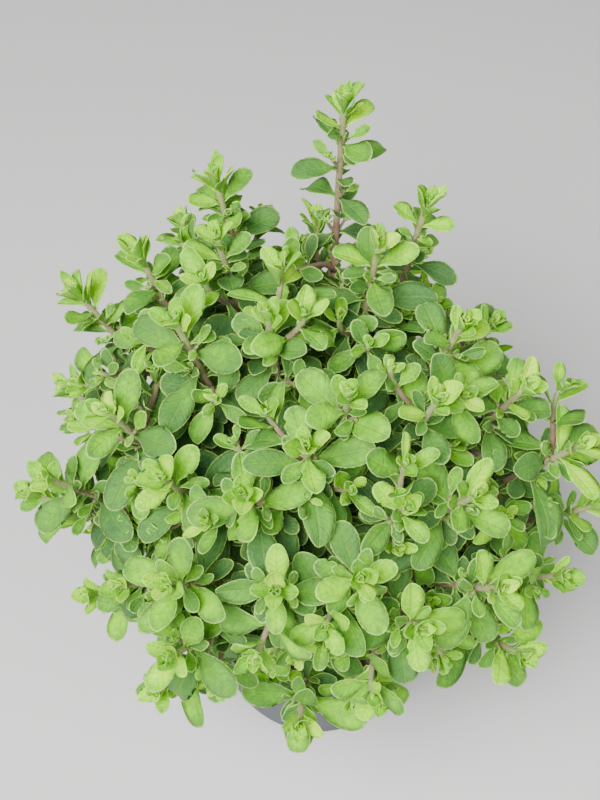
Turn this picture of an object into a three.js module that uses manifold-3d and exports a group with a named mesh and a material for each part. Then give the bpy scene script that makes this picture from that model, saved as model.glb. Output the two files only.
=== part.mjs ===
// Potted sweet marjoram: a plastic nursery pot, its peat soil and a ball of leafy stems.
// Millimetres, +Z up, origin at the centre of the pot's underside. The front is -Y.
// Each leafy stem is one closed body: a square stem, its crossed pairs of leaves and its bud.

import * as THREE from 'three';
import { mergeVertices } from 'three/addons/utils/BufferGeometryUtils.js';
import Module from 'manifold-3d';

const wasm = await Module();
wasm.setup();

// Pot: a 12 cm nursery pot, injection moulded, with a turned lip and drain holes
const POT_HEIGHT = 95;
const POT_TOP_RADIUS = 60;
const POT_BASE_RADIUS = 41;
const POT_WALL = 1.5;
const LIP_HEIGHT = 9;
const LIP_STEP = 1.7;
const LIP_TAPER = 0.6;
const EDGE_ROUND = 0.7;
const FOOT_CHAMFER = 1;
const POT_SIDES = 32;
const DRAIN_COUNT = 6;
const DRAIN_RADIUS = 4;
const DRAIN_CIRCLE = 30;
const DRAIN_SIDES = 10;

// Soil: peat filled to just under the lip, with a lumpy top
const SOIL_TOP = 82;
const SOIL_LUMP = 2.2;
const SOIL_RINGS = [34];
const FIT_GAP = 0.3;
const STEM_DEPTH = 7;

// Canopy: the ball that the shoot tips reach
const CANOPY_CENTRE = new THREE.Vector3(-3, 0, 155);
const CANOPY_RADIUS = 98;
const CANOPY_HALF_HEIGHT = 94;
const CROWN_RADIUS = 42;
const CROWN_SQUASH = 0.75;
const UPRIGHT_RISE = 90;
const FLAT_RISE = -35;
const FOOT_LEAN = 0.35;
const FOOT_PULL = 0.42;
const TIP_PULL = 0.32;
const UPTURN = 0.95;
const NOD = 0.38;

// Stem: square, thick as a match, in rings that each turn by an eighth of a circle
const STEM_ROOT_RADIUS = 1.8;
const STEM_TIP_RADIUS = 1.25;
const RING_STEP = 26;
const NODE_HEIGHT = 1.9;
const BUD_RADIUS = 1.8;
const BUD_LENGTH = 3.4;
const FRAME_STEPS = 160;

// Leaf pairs from the youngest to the oldest: distance below the bud, leaf length and
// angle from the stem
const PAIRS = [
  { below: 2.5, length: 10, angle: 27 },
  { below: 7.5, length: 15, angle: 50 },
  { below: 14, length: 19, angle: 66 },
  { below: 23, length: 21.5, angle: 79 },
  { below: 34.5, length: 20.5, angle: 88 },
  { below: 48, length: 18.5, angle: 94 },
  { below: 61, length: 16.5, angle: 97 },
];

// Leaf: spoon shaped, with a flat top between its edges and a midrib ridge below
const LEAF_STATIONS = [
  { at: 0.27, width: 0.42, depth: 1.25 },
  { at: 0.62, width: 1, depth: 1.15 },
  { at: 0.88, width: 0.74, depth: 0.9 },
];
const LEAF_HALF_WIDTH = 0.285;
const LEAF_ARCH = 17;
const LEAF_CUP = 0.16;
const LEAF_TIP_DROP = 0.2;
const LEAF_CLEARANCE = 0.35;
const STEM_CLEARANCE = 0.6;

// Leaves roll part of the way to face the light. It came from the front and above, and those
// on the far side of the ball face out and up.
const FRONT_LIGHT = new THREE.Vector3(0, -0.62, 0.78);
const FAR_LIGHT_RISE = 60;
const FAR_SIDE_FADE = 1.5;
const LIGHT_SHARE = 0.5;
const LIGHT_ROLL = 32;

// How much one leaf differs from the next: share of its length, then degrees
const LENGTH_SPREAD = 0.08;
const ANGLE_SPREAD = 7;
const ROLL_SPREAD = 14;

// Shoots that show from the front and above: compass bearing from the right and rise about
// the canopy's centre in degrees, reach as a share of the ball, leaf scale and leaf pairs.
// Facing is how the second pair of leaves points in that view, in degrees from the right.
const SHOWN_SHOOTS = [
  { name: 'tall_stem', bearing: 81, rise: 61, reach: 1.33, leaf: 0.88, pairs: 7, facing: 40 },
  { bearing: 121, rise: 53, reach: 1.1, leaf: 0.95, pairs: 5, facing: 45 },
  { bearing: 144, rise: 67, reach: 1.01, leaf: 0.95, pairs: 4, facing: 10 },
  { bearing: 154, rise: 50, reach: 1.03, leaf: 0.95, pairs: 4, facing: 150 },
  { bearing: 157, rise: 29, reach: 1.05, leaf: 1, pairs: 5, facing: 90 },
  { bearing: 197, rise: 64, reach: 1.03, leaf: 1.15, pairs: 5, facing: 75 },
  { bearing: 208, rise: 45, reach: 1.03, leaf: 1.15, pairs: 5, facing: 70 },
  { bearing: 203, rise: 23, reach: 1.04, leaf: 1.05, pairs: 5, facing: 140 },
  { bearing: 228, rise: 42, reach: 0.95, leaf: 1.05, pairs: 4 },
  { bearing: 252, rise: 47, reach: 1.01, leaf: 1.05, pairs: 5, facing: 97 },
  { bearing: 267, rise: 57, reach: 1.02, leaf: 1.1, pairs: 5, facing: 103 },
  { bearing: 283, rise: 65, reach: 1.02, leaf: 1.1, pairs: 5, facing: 50 },
  { bearing: 314, rise: 58, reach: 1, leaf: 0.95, pairs: 4, facing: 20 },
  { bearing: 30, rise: 77, reach: 1.04, leaf: 1.05, pairs: 5, facing: 5 },
  { bearing: 49, rise: 56, reach: 1.06, leaf: 0.9, pairs: 5, facing: 150 },
  { bearing: 224, rise: 78, reach: 0.98, leaf: 0.85, pairs: 4, facing: 60 },
  { bearing: 262, rise: 31, reach: 1.01, leaf: 1, pairs: 5, facing: 90 },
  { bearing: 279, rise: 34, reach: 1.03, leaf: 1.05, pairs: 5, facing: 20 },
  { bearing: 293, rise: 43, reach: 0.96, leaf: 0.85, pairs: 4, facing: 130 },
  { bearing: 290, rise: 20, reach: 1.01, leaf: 1.05, pairs: 5, facing: 98 },
  { bearing: 241, rise: 27, reach: 1.04, leaf: 1.15, pairs: 5, facing: 70 },
  { bearing: 243, rise: 9, reach: 1.02, leaf: 1.15, pairs: 5, facing: 55 },
  { bearing: 223, rise: 6, reach: 0.9, leaf: 1, pairs: 4, facing: 30 },
  { bearing: 267, rise: -19, reach: 0.98, leaf: 1.15, pairs: 4, facing: 80 },
  { bearing: 285, rise: -15, reach: 0.93, leaf: 1, pairs: 4, facing: 60 },
  { bearing: 346, rise: 62, reach: 1.01, leaf: 1, pairs: 5, facing: 30 },
  { bearing: 340, rise: 46, reach: 1.02, leaf: 0.9, pairs: 4 },
  { bearing: 341, rise: 28, reach: 1.04, leaf: 1.15, pairs: 5 },
  { bearing: 309, rise: 40, reach: 1, leaf: 1, pairs: 4, facing: 60 },
  { bearing: 307, rise: 21, reach: 1.03, leaf: 1.1, pairs: 5, facing: 120 },
  { bearing: 344, rise: 5, reach: 1.04, leaf: 1, pairs: 5 },
  { bearing: 327, rise: 3, reach: 1.01, leaf: 0.95, pairs: 4 },
  { bearing: 316, rise: -12, reach: 1.04, leaf: 1.15, pairs: 5, facing: 30 },
];

// The rest of the ball, behind and below, is filled evenly by a seeded draw
const HIDDEN_COUNT = 18;
const HIDDEN_LOWEST = -26;
const HIDDEN_HIGHEST = 60;
const HIDDEN_TRIES = 400;
const HIDDEN_REACH = [0.97, 1.05];
const HIDDEN_LEAF = [0.95, 1.1];

// The ball is flatter where it was shaded, at its back right
const SHADED_BEARING = 40;
const SHADED_SPREAD = 60;
const SHADED_DIP = 0.2;
const SEED = 25;

const SLATE = new THREE.MeshStandardMaterial({ color: 0x4a525c, roughness: 0.55, metalness: 0 });
const PEAT = new THREE.MeshStandardMaterial({ color: 0x2e221a, roughness: 1, metalness: 0 });
const LEAF_GREEN = new THREE.MeshStandardMaterial({ color: 0x86b04a, roughness: 0.8, metalness: 0 });

const toRadians = THREE.MathUtils.degToRad;

// Right and up as the plant is seen from the front and above, for the facing of its leaves
const SEEN_PITCH = toRadians(52);
const SEEN_RIGHT = new THREE.Vector3(1, 0, 0);
const SEEN_UP = new THREE.Vector3(0, Math.sin(SEEN_PITCH), Math.cos(SEEN_PITCH));

// Seeded draws between two values, so the plant grows alike on every run
let drawState = SEED;
function draw(low, high) {
  drawState = (drawState + 0x6d2b79f5) | 0;
  let mixed = Math.imul(drawState ^ (drawState >>> 15), 1 | drawState);
  mixed = (mixed + Math.imul(mixed ^ (mixed >>> 7), 61 | mixed)) ^ mixed;
  return low + (high - low) * (((mixed ^ (mixed >>> 14)) >>> 0) / 4294967296);
}

// A closed triangle mesh as a solid that can be cut, joined and measured
function toSolid(geometry) {
  const bare = geometry.clone();
  bare.deleteAttribute('normal');
  bare.deleteAttribute('uv');
  const merged = mergeVertices(bare, 1e-4);
  return new wasm.Manifold(new wasm.Mesh({
    numProp: 3,
    vertProperties: new Float32Array(merged.attributes.position.array),
    triVerts: new Uint32Array(merged.index.array),
  }));
}

// A solid back as a geometry for a mesh
function toGeometry(solid) {
  const mesh = solid.getMesh();
  const geometry = new THREE.BufferGeometry();
  geometry.setAttribute('position', new THREE.BufferAttribute(mesh.vertProperties, 3));
  geometry.setIndex(new THREE.BufferAttribute(mesh.triVerts, 1));
  geometry.computeVertexNormals();
  return geometry;
}

// Points and faces of one closed body, gathered before it becomes a geometry
class Body {
  constructor() {
    this.points = [];
    this.faces = [];
  }

  point(position) {
    this.points.push(position);
    return this.points.length - 1;
  }

  face(a, b, c) {
    this.faces.push([a, b, c]);
  }

  geometry() {
    const geometry = new THREE.BufferGeometry().setFromPoints(this.points);
    geometry.setIndex(this.faces.flat());
    geometry.computeVertexNormals();
    return geometry;
  }
}

// A profile of [radius, height] points turned about the upright axis
function turned(profile) {
  const points = profile.map(([radius, height]) => new THREE.Vector2(radius, height));
  const geometry = new THREE.LatheGeometry(points, POT_SIDES);
  geometry.rotateX(Math.PI / 2);
  return geometry;
}

// Pot wall radius on the outside at a height, below the lip
function potRadiusAt(height) {
  const wallTop = POT_TOP_RADIUS - LIP_STEP;
  return POT_BASE_RADIUS + (wallTop - POT_BASE_RADIUS) * height / (POT_HEIGHT - LIP_HEIGHT);
}

// The pot is turned about the axis, then its drain holes are cut
function buildPot() {
  const lipFoot = POT_HEIGHT - LIP_HEIGHT;
  const profile = [
    [0, 0],
    [POT_BASE_RADIUS - FOOT_CHAMFER, 0],
    [potRadiusAt(FOOT_CHAMFER), FOOT_CHAMFER],
    [potRadiusAt(lipFoot), lipFoot],
    [POT_TOP_RADIUS - LIP_TAPER, lipFoot],
    [POT_TOP_RADIUS, POT_HEIGHT - EDGE_ROUND],
    [POT_TOP_RADIUS - EDGE_ROUND, POT_HEIGHT],
    [POT_TOP_RADIUS - POT_WALL - EDGE_ROUND / 2, POT_HEIGHT],
    [POT_TOP_RADIUS - POT_WALL - EDGE_ROUND, lipFoot + POT_WALL],
    [potRadiusAt(lipFoot) - POT_WALL, lipFoot - POT_WALL],
    [potRadiusAt(POT_WALL) - POT_WALL, POT_WALL],
    [0, POT_WALL],
  ];
  let pot = toSolid(turned(profile));
  for (let k = 0; k < DRAIN_COUNT; k += 1) {
    const turn = 2 * Math.PI * k / DRAIN_COUNT;
    const drill = new THREE.CylinderGeometry(DRAIN_RADIUS, DRAIN_RADIUS, 3 * POT_WALL, DRAIN_SIDES);
    drill.rotateX(Math.PI / 2);
    drill.translate(DRAIN_CIRCLE * Math.cos(turn), DRAIN_CIRCLE * Math.sin(turn), 0);
    pot = pot.subtract(toSolid(drill));
  }
  return pot;
}

// Soil fills the pot with a small gap to its wall. Its top rings rise and fall a little.
function soilBlank() {
  const bottom = POT_WALL + FIT_GAP;
  const profile = [
    [0, bottom],
    [potRadiusAt(bottom) - POT_WALL - FIT_GAP, bottom],
    [potRadiusAt(SOIL_TOP) - POT_WALL - FIT_GAP, SOIL_TOP],
    ...SOIL_RINGS.map((radius) => [radius, SOIL_TOP]),
    [0, SOIL_TOP],
  ];
  const geometry = turned(profile);
  geometry.deleteAttribute('normal');
  geometry.deleteAttribute('uv');
  const merged = mergeVertices(geometry, 1e-4);
  const position = merged.attributes.position;
  for (let i = 0; i < position.count; i += 1) {
    if (position.getZ(i) > SOIL_TOP - 1) {
      position.setZ(i, SOIL_TOP + draw(-SOIL_LUMP, SOIL_LUMP) / 2);
    }
  }
  return toSolid(merged);
}

// A square hole along the foot of a stem, a little wider and deeper than the stem
function drillFor(rings) {
  const foot = rings[0].frame.place;
  const rise = rings[1].frame.place.clone().sub(foot).normalize();
  const reach = STEM_DEPTH + 2 * SOIL_LUMP;
  const radius = (STEM_ROOT_RADIUS + 2 * FIT_GAP) * Math.SQRT2;
  const drill = new THREE.CylinderGeometry(radius, radius, reach, 4);
  drill.translate(0, reach / 2 - 2 * FIT_GAP, 0);
  drill.applyQuaternion(new THREE.Quaternion().setFromUnitVectors(THREE.Object3D.DEFAULT_UP, rise));
  drill.translate(foot.x, foot.y, foot.z);
  return toSolid(drill);
}

// Direction from the canopy's centre, by compass bearing and rise in degrees
function directionOf(bearing, rise) {
  const flat = Math.cos(toRadians(rise));
  return new THREE.Vector3(
    flat * Math.cos(toRadians(bearing)),
    flat * Math.sin(toRadians(bearing)),
    Math.sin(toRadians(rise)),
  );
}

// Where a shoot's tip is: on the ball, at its share of the reach
function tipOf(shoot) {
  const out = directionOf(shoot.bearing, shoot.rise).multiplyScalar(shoot.reach);
  out.multiply(new THREE.Vector3(CANOPY_RADIUS, CANOPY_RADIUS, CANOPY_HALF_HEIGHT));
  return out.add(CANOPY_CENTRE);
}

// Hidden shoots: each goes where the ball is emptiest among a few draws
function hiddenShoots() {
  const taken = SHOWN_SHOOTS.map((shoot) => directionOf(shoot.bearing, shoot.rise));
  const shoots = [];
  for (let k = 0; k < HIDDEN_COUNT; k += 1) {
    let best = null;
    for (let i = 0; i < HIDDEN_TRIES; i += 1) {
      const bearing = draw(0, 360);
      const rise = draw(HIDDEN_LOWEST, HIDDEN_HIGHEST);
      const direction = directionOf(bearing, rise);
      const room = Math.min(...taken.map((other) => other.angleTo(direction)));
      if (best === null || room > best.room) {
        best = { bearing, rise, direction, room };
      }
    }
    taken.push(best.direction);
    const aside = THREE.MathUtils.euclideanModulo(best.bearing - SHADED_BEARING + 180, 360) - 180;
    const shade = Math.abs(aside) < SHADED_SPREAD ? Math.cos(Math.PI / 2 * aside / SHADED_SPREAD) : 0;
    shoots.push({
      bearing: best.bearing,
      rise: best.rise,
      reach: draw(...HIDDEN_REACH) - SHADED_DIP * shade,
      leaf: draw(...HIDDEN_LEAF),
      pairs: 4 + k % 2,
    });
  }
  return shoots;
}

// Path of a stem from its hole in the soil to its bud. Low shoots stand at the edge of the
// crown and bend out over the rim, high ones stand in its middle. Every tip turns up, and
// those at the back nod to the front, where the light came from.
function stemPath(shoot) {
  const lean = (UPRIGHT_RISE - shoot.rise) / (UPRIGHT_RISE - FLAT_RISE);
  const rootRadius = CROWN_RADIUS * Math.pow(Math.min(lean, 1), CROWN_SQUASH);
  const flat = directionOf(shoot.bearing, 0);
  const root = flat.clone().multiplyScalar(rootRadius).setZ(SOIL_TOP - STEM_DEPTH);
  const tip = tipOf(shoot);
  const span = root.distanceTo(tip);
  const start = flat.clone().multiplyScalar(FOOT_LEAN * lean).setZ(1).normalize();
  const end = directionOf(shoot.bearing, shoot.rise);
  end.z += UPTURN;
  end.y -= NOD * Math.max(0, flat.y);
  end.normalize();
  return new THREE.CubicBezierCurve3(
    root,
    root.clone().addScaledVector(start, FOOT_PULL * span),
    tip.clone().addScaledVector(end, -TIP_PULL * span),
    tip,
  );
}

// Frames along a stem that don't twist: place, tangent and two sides at a run from the root
class StemFrames {
  constructor(curve) {
    this.curve = curve;
    this.length = curve.getLength();
    this.frames = curve.computeFrenetFrames(FRAME_STEPS, false);
  }

  at(run) {
    const u = THREE.MathUtils.clamp(run / this.length, 0, 1);
    const step = Math.round(u * FRAME_STEPS);
    return {
      place: this.curve.getPointAt(u),
      tangent: this.frames.tangents[step],
      side: this.frames.normals[step],
      across: this.frames.binormals[step],
    };
  }
}

// Turn of a stem's first ring that makes its second pair of leaves point as its facing says.
// A leaf stands midway between two corners of the ring above its own.
function firstTurn(shoot, rings, frames) {
  if (shoot.facing === undefined) {
    return draw(0, Math.PI / 2);
  }
  const index = rings.findIndex((ring) => ring.pair === 1);
  const frame = frames.at(rings[index].run);
  const seen = SEEN_RIGHT.clone().multiplyScalar(Math.cos(toRadians(shoot.facing)))
    .addScaledVector(SEEN_UP, Math.sin(toRadians(shoot.facing)));
  return Math.atan2(seen.dot(frame.across), seen.dot(frame.side)) - (index + 2) * Math.PI / 4;
}

// Rings of a stem from root to bud. Each pair of leaves takes two of them.
function stemRings(shoot, frames) {
  const length = frames.length;
  const lowest = length - PAIRS[shoot.pairs - 1].below;
  const bareCount = Math.max(2, Math.round(lowest / RING_STEP));
  const rings = [];
  for (let i = 0; i < bareCount; i += 1) {
    rings.push({ run: lowest * i / bareCount });
  }
  for (let pair = shoot.pairs - 1; pair >= 0; pair -= 1) {
    const run = length - PAIRS[pair].below - BUD_LENGTH;
    rings.push({ run: run - NODE_HEIGHT / 2, pair });
    rings.push({ run: run + NODE_HEIGHT / 2 });
  }
  rings.push({ run: length - BUD_LENGTH * 0.75, radius: BUD_RADIUS });
  const turn = firstTurn(shoot, rings, frames);
  rings.forEach((ring, index) => {
    const thin = ring.run / length;
    const radius = ring.radius ?? THREE.MathUtils.lerp(STEM_ROOT_RADIUS, STEM_TIP_RADIUS, thin);
    const frame = frames.at(ring.run);
    ring.frame = frame;
    ring.corners = [0, 1, 2, 3].map((k) => {
      const angle = turn + (index + 2 * k) * Math.PI / 4;
      return frame.place.clone()
        .addScaledVector(frame.side, radius * Math.cos(angle))
        .addScaledVector(frame.across, radius * Math.sin(angle));
    });
  });
  return rings;
}

// Where the light on a shoot comes from
function lightOn(shoot) {
  const inFront = directionOf(shoot.bearing, shoot.rise).dot(FRONT_LIGHT);
  const share = THREE.MathUtils.clamp(0.5 + FAR_SIDE_FADE * inFront, 0, 1);
  return directionOf(shoot.bearing, FAR_LIGHT_RISE).lerp(FRONT_LIGHT, share).normalize();
}

// Roll about a leaf's heading that turns its face towards the light, in degrees
function rollToLight(level, face, light) {
  const whole = THREE.MathUtils.radToDeg(Math.atan2(-light.dot(level), light.dot(face)));
  return THREE.MathUtils.clamp(LIGHT_SHARE * whole, -LIGHT_ROLL, LIGHT_ROLL);
}

// Sections of a leaf from a triangle of stem corners: left, below and right, then the tip.
// The leaf sets off at its angle from the stem, bends outward and is cupped upward.
function leafSections(base, frame, size) {
  const heart = new THREE.Vector3().add(base[0]).add(base[1]).add(base[2]).divideScalar(3);
  const axis = frame.tangent;
  const outward = heart.clone().sub(frame.place);
  outward.addScaledVector(axis, -outward.dot(axis)).normalize();
  const level = new THREE.Vector3().crossVectors(axis, outward);
  outward.applyAxisAngle(axis, toRadians(size.swing));
  level.applyAxisAngle(axis, toRadians(size.swing));
  const middle = toRadians(size.angle + LEAF_ARCH / 2);
  const face = axis.clone().multiplyScalar(Math.sin(middle))
    .addScaledVector(outward, -Math.cos(middle));
  const roll = toRadians(size.roll + rollToLight(level, face, size.light));
  const half = size.length * LEAF_HALF_WIDTH;
  const sections = [base];
  const centre = heart.clone();
  let last = 0;
  const advance = (at) => {
    const angle = toRadians(size.angle + LEAF_ARCH * (at + last) / 2);
    const heading = axis.clone().multiplyScalar(Math.cos(angle))
      .addScaledVector(outward, Math.sin(angle));
    const upward = axis.clone().multiplyScalar(Math.sin(angle))
      .addScaledVector(outward, -Math.cos(angle));
    centre.addScaledVector(heading, size.length * (at - last));
    last = at;
    const side = level.clone().applyAxisAngle(heading, roll);
    upward.applyAxisAngle(heading, roll);
    return { side, upward };
  };
  for (const station of LEAF_STATIONS) {
    const { side, upward } = advance(station.at);
    const width = half * station.width;
    const rim = centre.clone().addScaledVector(upward, LEAF_CUP * width);
    sections.push([
      rim.clone().addScaledVector(side, -width),
      centre.clone().addScaledVector(upward, -station.depth),
      rim.clone().addScaledVector(side, width),
    ]);
  }
  const { upward } = advance(1);
  return { sections, tip: centre.clone().addScaledVector(upward, -LEAF_TIP_DROP) };
}

// Faces of a leaf on a body. The first section's points are the stem's own corners.
function addLeaf(body, leaf, baseIndices) {
  let last = baseIndices;
  for (const section of leaf.sections.slice(1)) {
    const next = section.map((position) => body.point(position));
    for (let k = 0; k < 3; k += 1) {
      const m = (k + 1) % 3;
      body.face(last[k], last[m], next[m]);
      body.face(last[k], next[m], next[k]);
    }
    last = next;
  }
  const tip = body.point(leaf.tip);
  for (let k = 0; k < 3; k += 1) {
    body.face(last[k], last[(k + 1) % 3], tip);
  }
}

// A leaf alone, closed at its foot, to measure its distance from what stands already
function leafSolid(leaf) {
  const body = new Body();
  const base = leaf.sections[0].map((position) => body.point(position));
  addLeaf(body, leaf, base);
  body.face(base[0], base[2], base[1]);
  return toSolid(body.geometry());
}

// Faces of a stem, with its leaves where a pair's two downward triangles would be
function stemBody(rings, bud, leaves) {
  const body = new Body();
  const indices = rings.map((ring) => ring.corners.map((corner) => body.point(corner)));
  const first = indices[0];
  body.face(first[0], first[2], first[1]);
  body.face(first[0], first[3], first[2]);
  for (let i = 0; i + 1 < rings.length; i += 1) {
    const low = indices[i];
    const high = indices[i + 1];
    for (let k = 0; k < 4; k += 1) {
      const m = (k + 1) % 4;
      body.face(low[k], low[m], high[k]);
      const leaf = leaves.find((one) => one.ring === i && one.corner === k);
      if (leaf) {
        addLeaf(body, leaf, [high[k], low[m], high[m]]);
      } else {
        body.face(high[k], low[m], high[m]);
      }
    }
  }
  const top = indices.at(-1);
  const apex = body.point(bud);
  for (let k = 0; k < 4; k += 1) {
    body.face(top[k], top[(k + 1) % 4], apex);
  }
  return body;
}

// What stands already, each with its box, so that a new leaf can be kept clear of it
const standing = [];

function stand(solid, owner) {
  const { min, max } = solid.boundingBox();
  standing.push({ solid, owner, min, max });
}

function isClear(solid, owner, clearance) {
  const { min, max } = solid.boundingBox();
  for (const other of standing) {
    if (other.owner === owner) {
      continue;
    }
    const apart = [0, 1, 2].some((axis) =>
      min[axis] > other.max[axis] + clearance || max[axis] < other.min[axis] - clearance);
    if (!apart && solid.minGap(other.solid, clearance) < clearance) {
      return false;
    }
  }
  return true;
}

// Ways to turn and shrink a leaf, tried in order until it is clear
const LEAF_TRIES = [];
for (const scale of [1, 0.88, 0.76]) {
  for (const [angle, swing] of [
    [0, 0], [-12, 0], [10, 0], [0, 14], [0, -14], [-14, 12], [-14, -12], [12, 14], [12, -14],
    [-24, 0], [20, 0], [-8, 26], [-8, -26], [14, 26], [14, -26],
  ]) {
    LEAF_TRIES.push({ scale, angle, swing });
  }
}

// The triangle of corners that a leaf grows from: high left, low middle, high right
function leafBase(rings, ring, corner) {
  const high = rings[ring + 1].corners;
  return [high[corner], rings[ring].corners[(corner + 1) % 4], high[(corner + 1) % 4]];
}

function growLeaf(plant, ring, corner) {
  const pair = PAIRS[plant.rings[ring].pair];
  const length = pair.length * plant.shoot.leaf * draw(1 - LENGTH_SPREAD, 1 + LENGTH_SPREAD);
  const angle = pair.angle + draw(-ANGLE_SPREAD, ANGLE_SPREAD);
  const swing = draw(-ANGLE_SPREAD, ANGLE_SPREAD);
  const roll = draw(-ROLL_SPREAD, ROLL_SPREAD);
  const base = leafBase(plant.rings, ring, corner);
  for (const change of LEAF_TRIES) {
    const leaf = leafSections(base, plant.rings[ring].frame, {
      length: length * change.scale,
      angle: angle + change.angle,
      swing: swing + change.swing,
      roll,
      light: plant.light,
    });
    const solid = leafSolid(leaf);
    if (isClear(solid, plant.name, LEAF_CLEARANCE)) {
      stand(solid, `${plant.name}_leaf_${ring}_${corner}`);
      return { ...leaf, ring, corner };
    }
  }
  return null;
}

const marjoram = new THREE.Group();
marjoram.name = 'potted_sweet_marjoram';

function addPiece(name, geometry, material) {
  const mesh = new THREE.Mesh(geometry, material);
  mesh.name = name;
  marjoram.add(mesh);
}

const pot = buildPot();
stand(pot, 'pot');
addPiece('pot', toGeometry(pot), SLATE);

// Every stem stands before any leaf does
const shoots = [...SHOWN_SHOOTS, ...hiddenShoots()];
const plants = shoots.map((shoot, index) => {
  const name = shoot.name ?? `leafy_stem_${String(index).padStart(2, '0')}`;
  const rings = stemRings(shoot, new StemFrames(stemPath(shoot)));
  const bare = toSolid(stemBody(rings, tipOf(shoot), []).geometry());
  if (!isClear(bare, name, STEM_CLEARANCE)) {
    throw new Error(`${name} crosses what stands already`);
  }
  stand(bare, name);
  return { name, shoot, rings, light: lightOn(shoot), leaves: [] };
});

// Young leaves first on every stem, so that no tip stays bare
for (let pair = 0; pair < PAIRS.length; pair += 1) {
  for (const plant of plants) {
    const ring = plant.rings.findIndex((one) => one.pair === pair);
    if (ring >= 0) {
      for (const corner of [0, 2]) {
        const leaf = growLeaf(plant, ring, corner);
        if (leaf) {
          plant.leaves.push(leaf);
        }
      }
    }
  }
}

for (const plant of plants) {
  const body = stemBody(plant.rings, tipOf(plant.shoot), plant.leaves);
  addPiece(plant.name, body.geometry(), LEAF_GREEN);
}

let soil = soilBlank();
for (const plant of plants) {
  soil = soil.subtract(drillFor(plant.rings));
}
addPiece('soil', toGeometry(soil), PEAT);

export default marjoram;
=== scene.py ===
import math

import bpy
import numpy as np
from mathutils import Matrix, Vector


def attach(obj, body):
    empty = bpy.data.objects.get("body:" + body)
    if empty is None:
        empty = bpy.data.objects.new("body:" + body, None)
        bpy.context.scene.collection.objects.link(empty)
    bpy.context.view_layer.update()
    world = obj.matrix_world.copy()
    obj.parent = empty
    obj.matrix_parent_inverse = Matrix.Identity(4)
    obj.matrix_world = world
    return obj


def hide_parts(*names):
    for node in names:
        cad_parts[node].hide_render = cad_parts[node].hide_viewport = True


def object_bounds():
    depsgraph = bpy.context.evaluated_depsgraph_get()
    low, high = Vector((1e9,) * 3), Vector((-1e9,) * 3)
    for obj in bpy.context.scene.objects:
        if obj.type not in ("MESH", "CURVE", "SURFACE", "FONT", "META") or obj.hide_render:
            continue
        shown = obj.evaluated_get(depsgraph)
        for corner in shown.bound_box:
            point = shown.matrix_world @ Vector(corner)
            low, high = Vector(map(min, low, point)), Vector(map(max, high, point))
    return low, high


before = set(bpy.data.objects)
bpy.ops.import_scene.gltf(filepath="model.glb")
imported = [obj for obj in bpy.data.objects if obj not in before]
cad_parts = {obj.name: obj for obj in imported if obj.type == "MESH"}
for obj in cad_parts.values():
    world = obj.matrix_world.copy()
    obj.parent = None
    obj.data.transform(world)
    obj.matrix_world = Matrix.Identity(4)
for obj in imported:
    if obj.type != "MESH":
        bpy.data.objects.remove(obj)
cad_low, cad_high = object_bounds()

MM = 0.001


# Camera: it looks down on the plant from the front, as the photograph does, and its lens
# gives the photograph's frame of 600 x 800.
CAMERA_PLACE = (-7.6 * MM, -258.6 * MM, 517.3 * MM)
CAMERA_PITCH = math.radians(52)
FOCAL_LENGTH_IN_PIXELS = 1225
FRAME_HEIGHT = 800
SENSOR = 36


def in_scene(name, data):
    """A new object that stands in the scene."""
    made = bpy.data.objects.new(name, data)
    bpy.context.scene.collection.objects.link(made)
    return made


camera_data = bpy.data.cameras.new("camera")
camera_data.sensor_width = SENSOR
camera_data.lens = FOCAL_LENGTH_IN_PIXELS * SENSOR / FRAME_HEIGHT
camera_data.clip_start = 0.01
camera = in_scene("camera", camera_data)
camera.location = CAMERA_PLACE
camera.rotation_euler = (math.pi / 2 - CAMERA_PITCH, 0, 0)
bpy.context.scene.camera = camera


# Pot: a thin 12 cm nursery pot, injection moulded in one piece from slate-grey plastic, with
# a lip band that steps out round its top and six round drain holes in its floor.
POT_HEIGHT = 95 * MM
POT_TOP_RADIUS = 60 * MM
POT_BASE_RADIUS = 41 * MM
POT_WALL = 1.5 * MM
LIP_HEIGHT = 9 * MM
LIP_STEP = 1.7 * MM
LIP_FOOT = POT_HEIGHT - LIP_HEIGHT
DRAIN_COUNT = 6
DRAIN_RADIUS = 4 * MM
DRAIN_CIRCLE = 30 * MM
POT_SIDES = 120
WALL_RINGS = 12
DRAIN_SIDES = 28
SHARP_EDGE = math.radians(40)


def make_mesh(name, points, face_sets):
    """Mesh from an array of points and arrays of faces, each with three or four corners a row."""
    mesh = bpy.data.meshes.new(name)
    mesh.vertices.add(len(points))
    mesh.vertices.foreach_set("co", np.asarray(points, np.float32).ravel())
    corners = np.concatenate([faces.ravel() for faces in face_sets]).astype(np.int32)
    sizes = np.concatenate([np.full(len(faces), faces.shape[1]) for faces in face_sets])
    starts = np.concatenate([[0], np.cumsum(sizes)[:-1]]).astype(np.int32)
    mesh.loops.add(len(corners))
    mesh.loops.foreach_set("vertex_index", corners)
    mesh.polygons.add(len(sizes))
    mesh.polygons.foreach_set("loop_start", starts)
    mesh.polygons.foreach_set("use_smooth", np.ones(len(sizes), bool))
    mesh.update(calc_edges=True)
    return mesh


def tube_faces(rings, around):
    """Faces of a closed tube. Point 0 closes its start, ring i has points 1 + i * around on,
    and the last point closes its end. Each four-cornered face joins ring i to ring i + 1."""
    i = np.arange(rings - 1)[:, None]
    j = np.arange(around)[None, :]
    k = (j + 1) % around
    low = 1 + i * around
    quads = np.stack([low + j, low + k, low + around + k, low + around + j], -1).reshape(-1, 4)
    j, k = j[0], k[0]
    last = 1 + (rings - 1) * around
    start_cap = np.stack([np.zeros_like(j), 1 + k, 1 + j], -1)
    end_cap = np.stack([last + j, last + k, np.full_like(j, last + around)], -1)
    return [quads, np.concatenate([start_cap, end_cap])]


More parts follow.
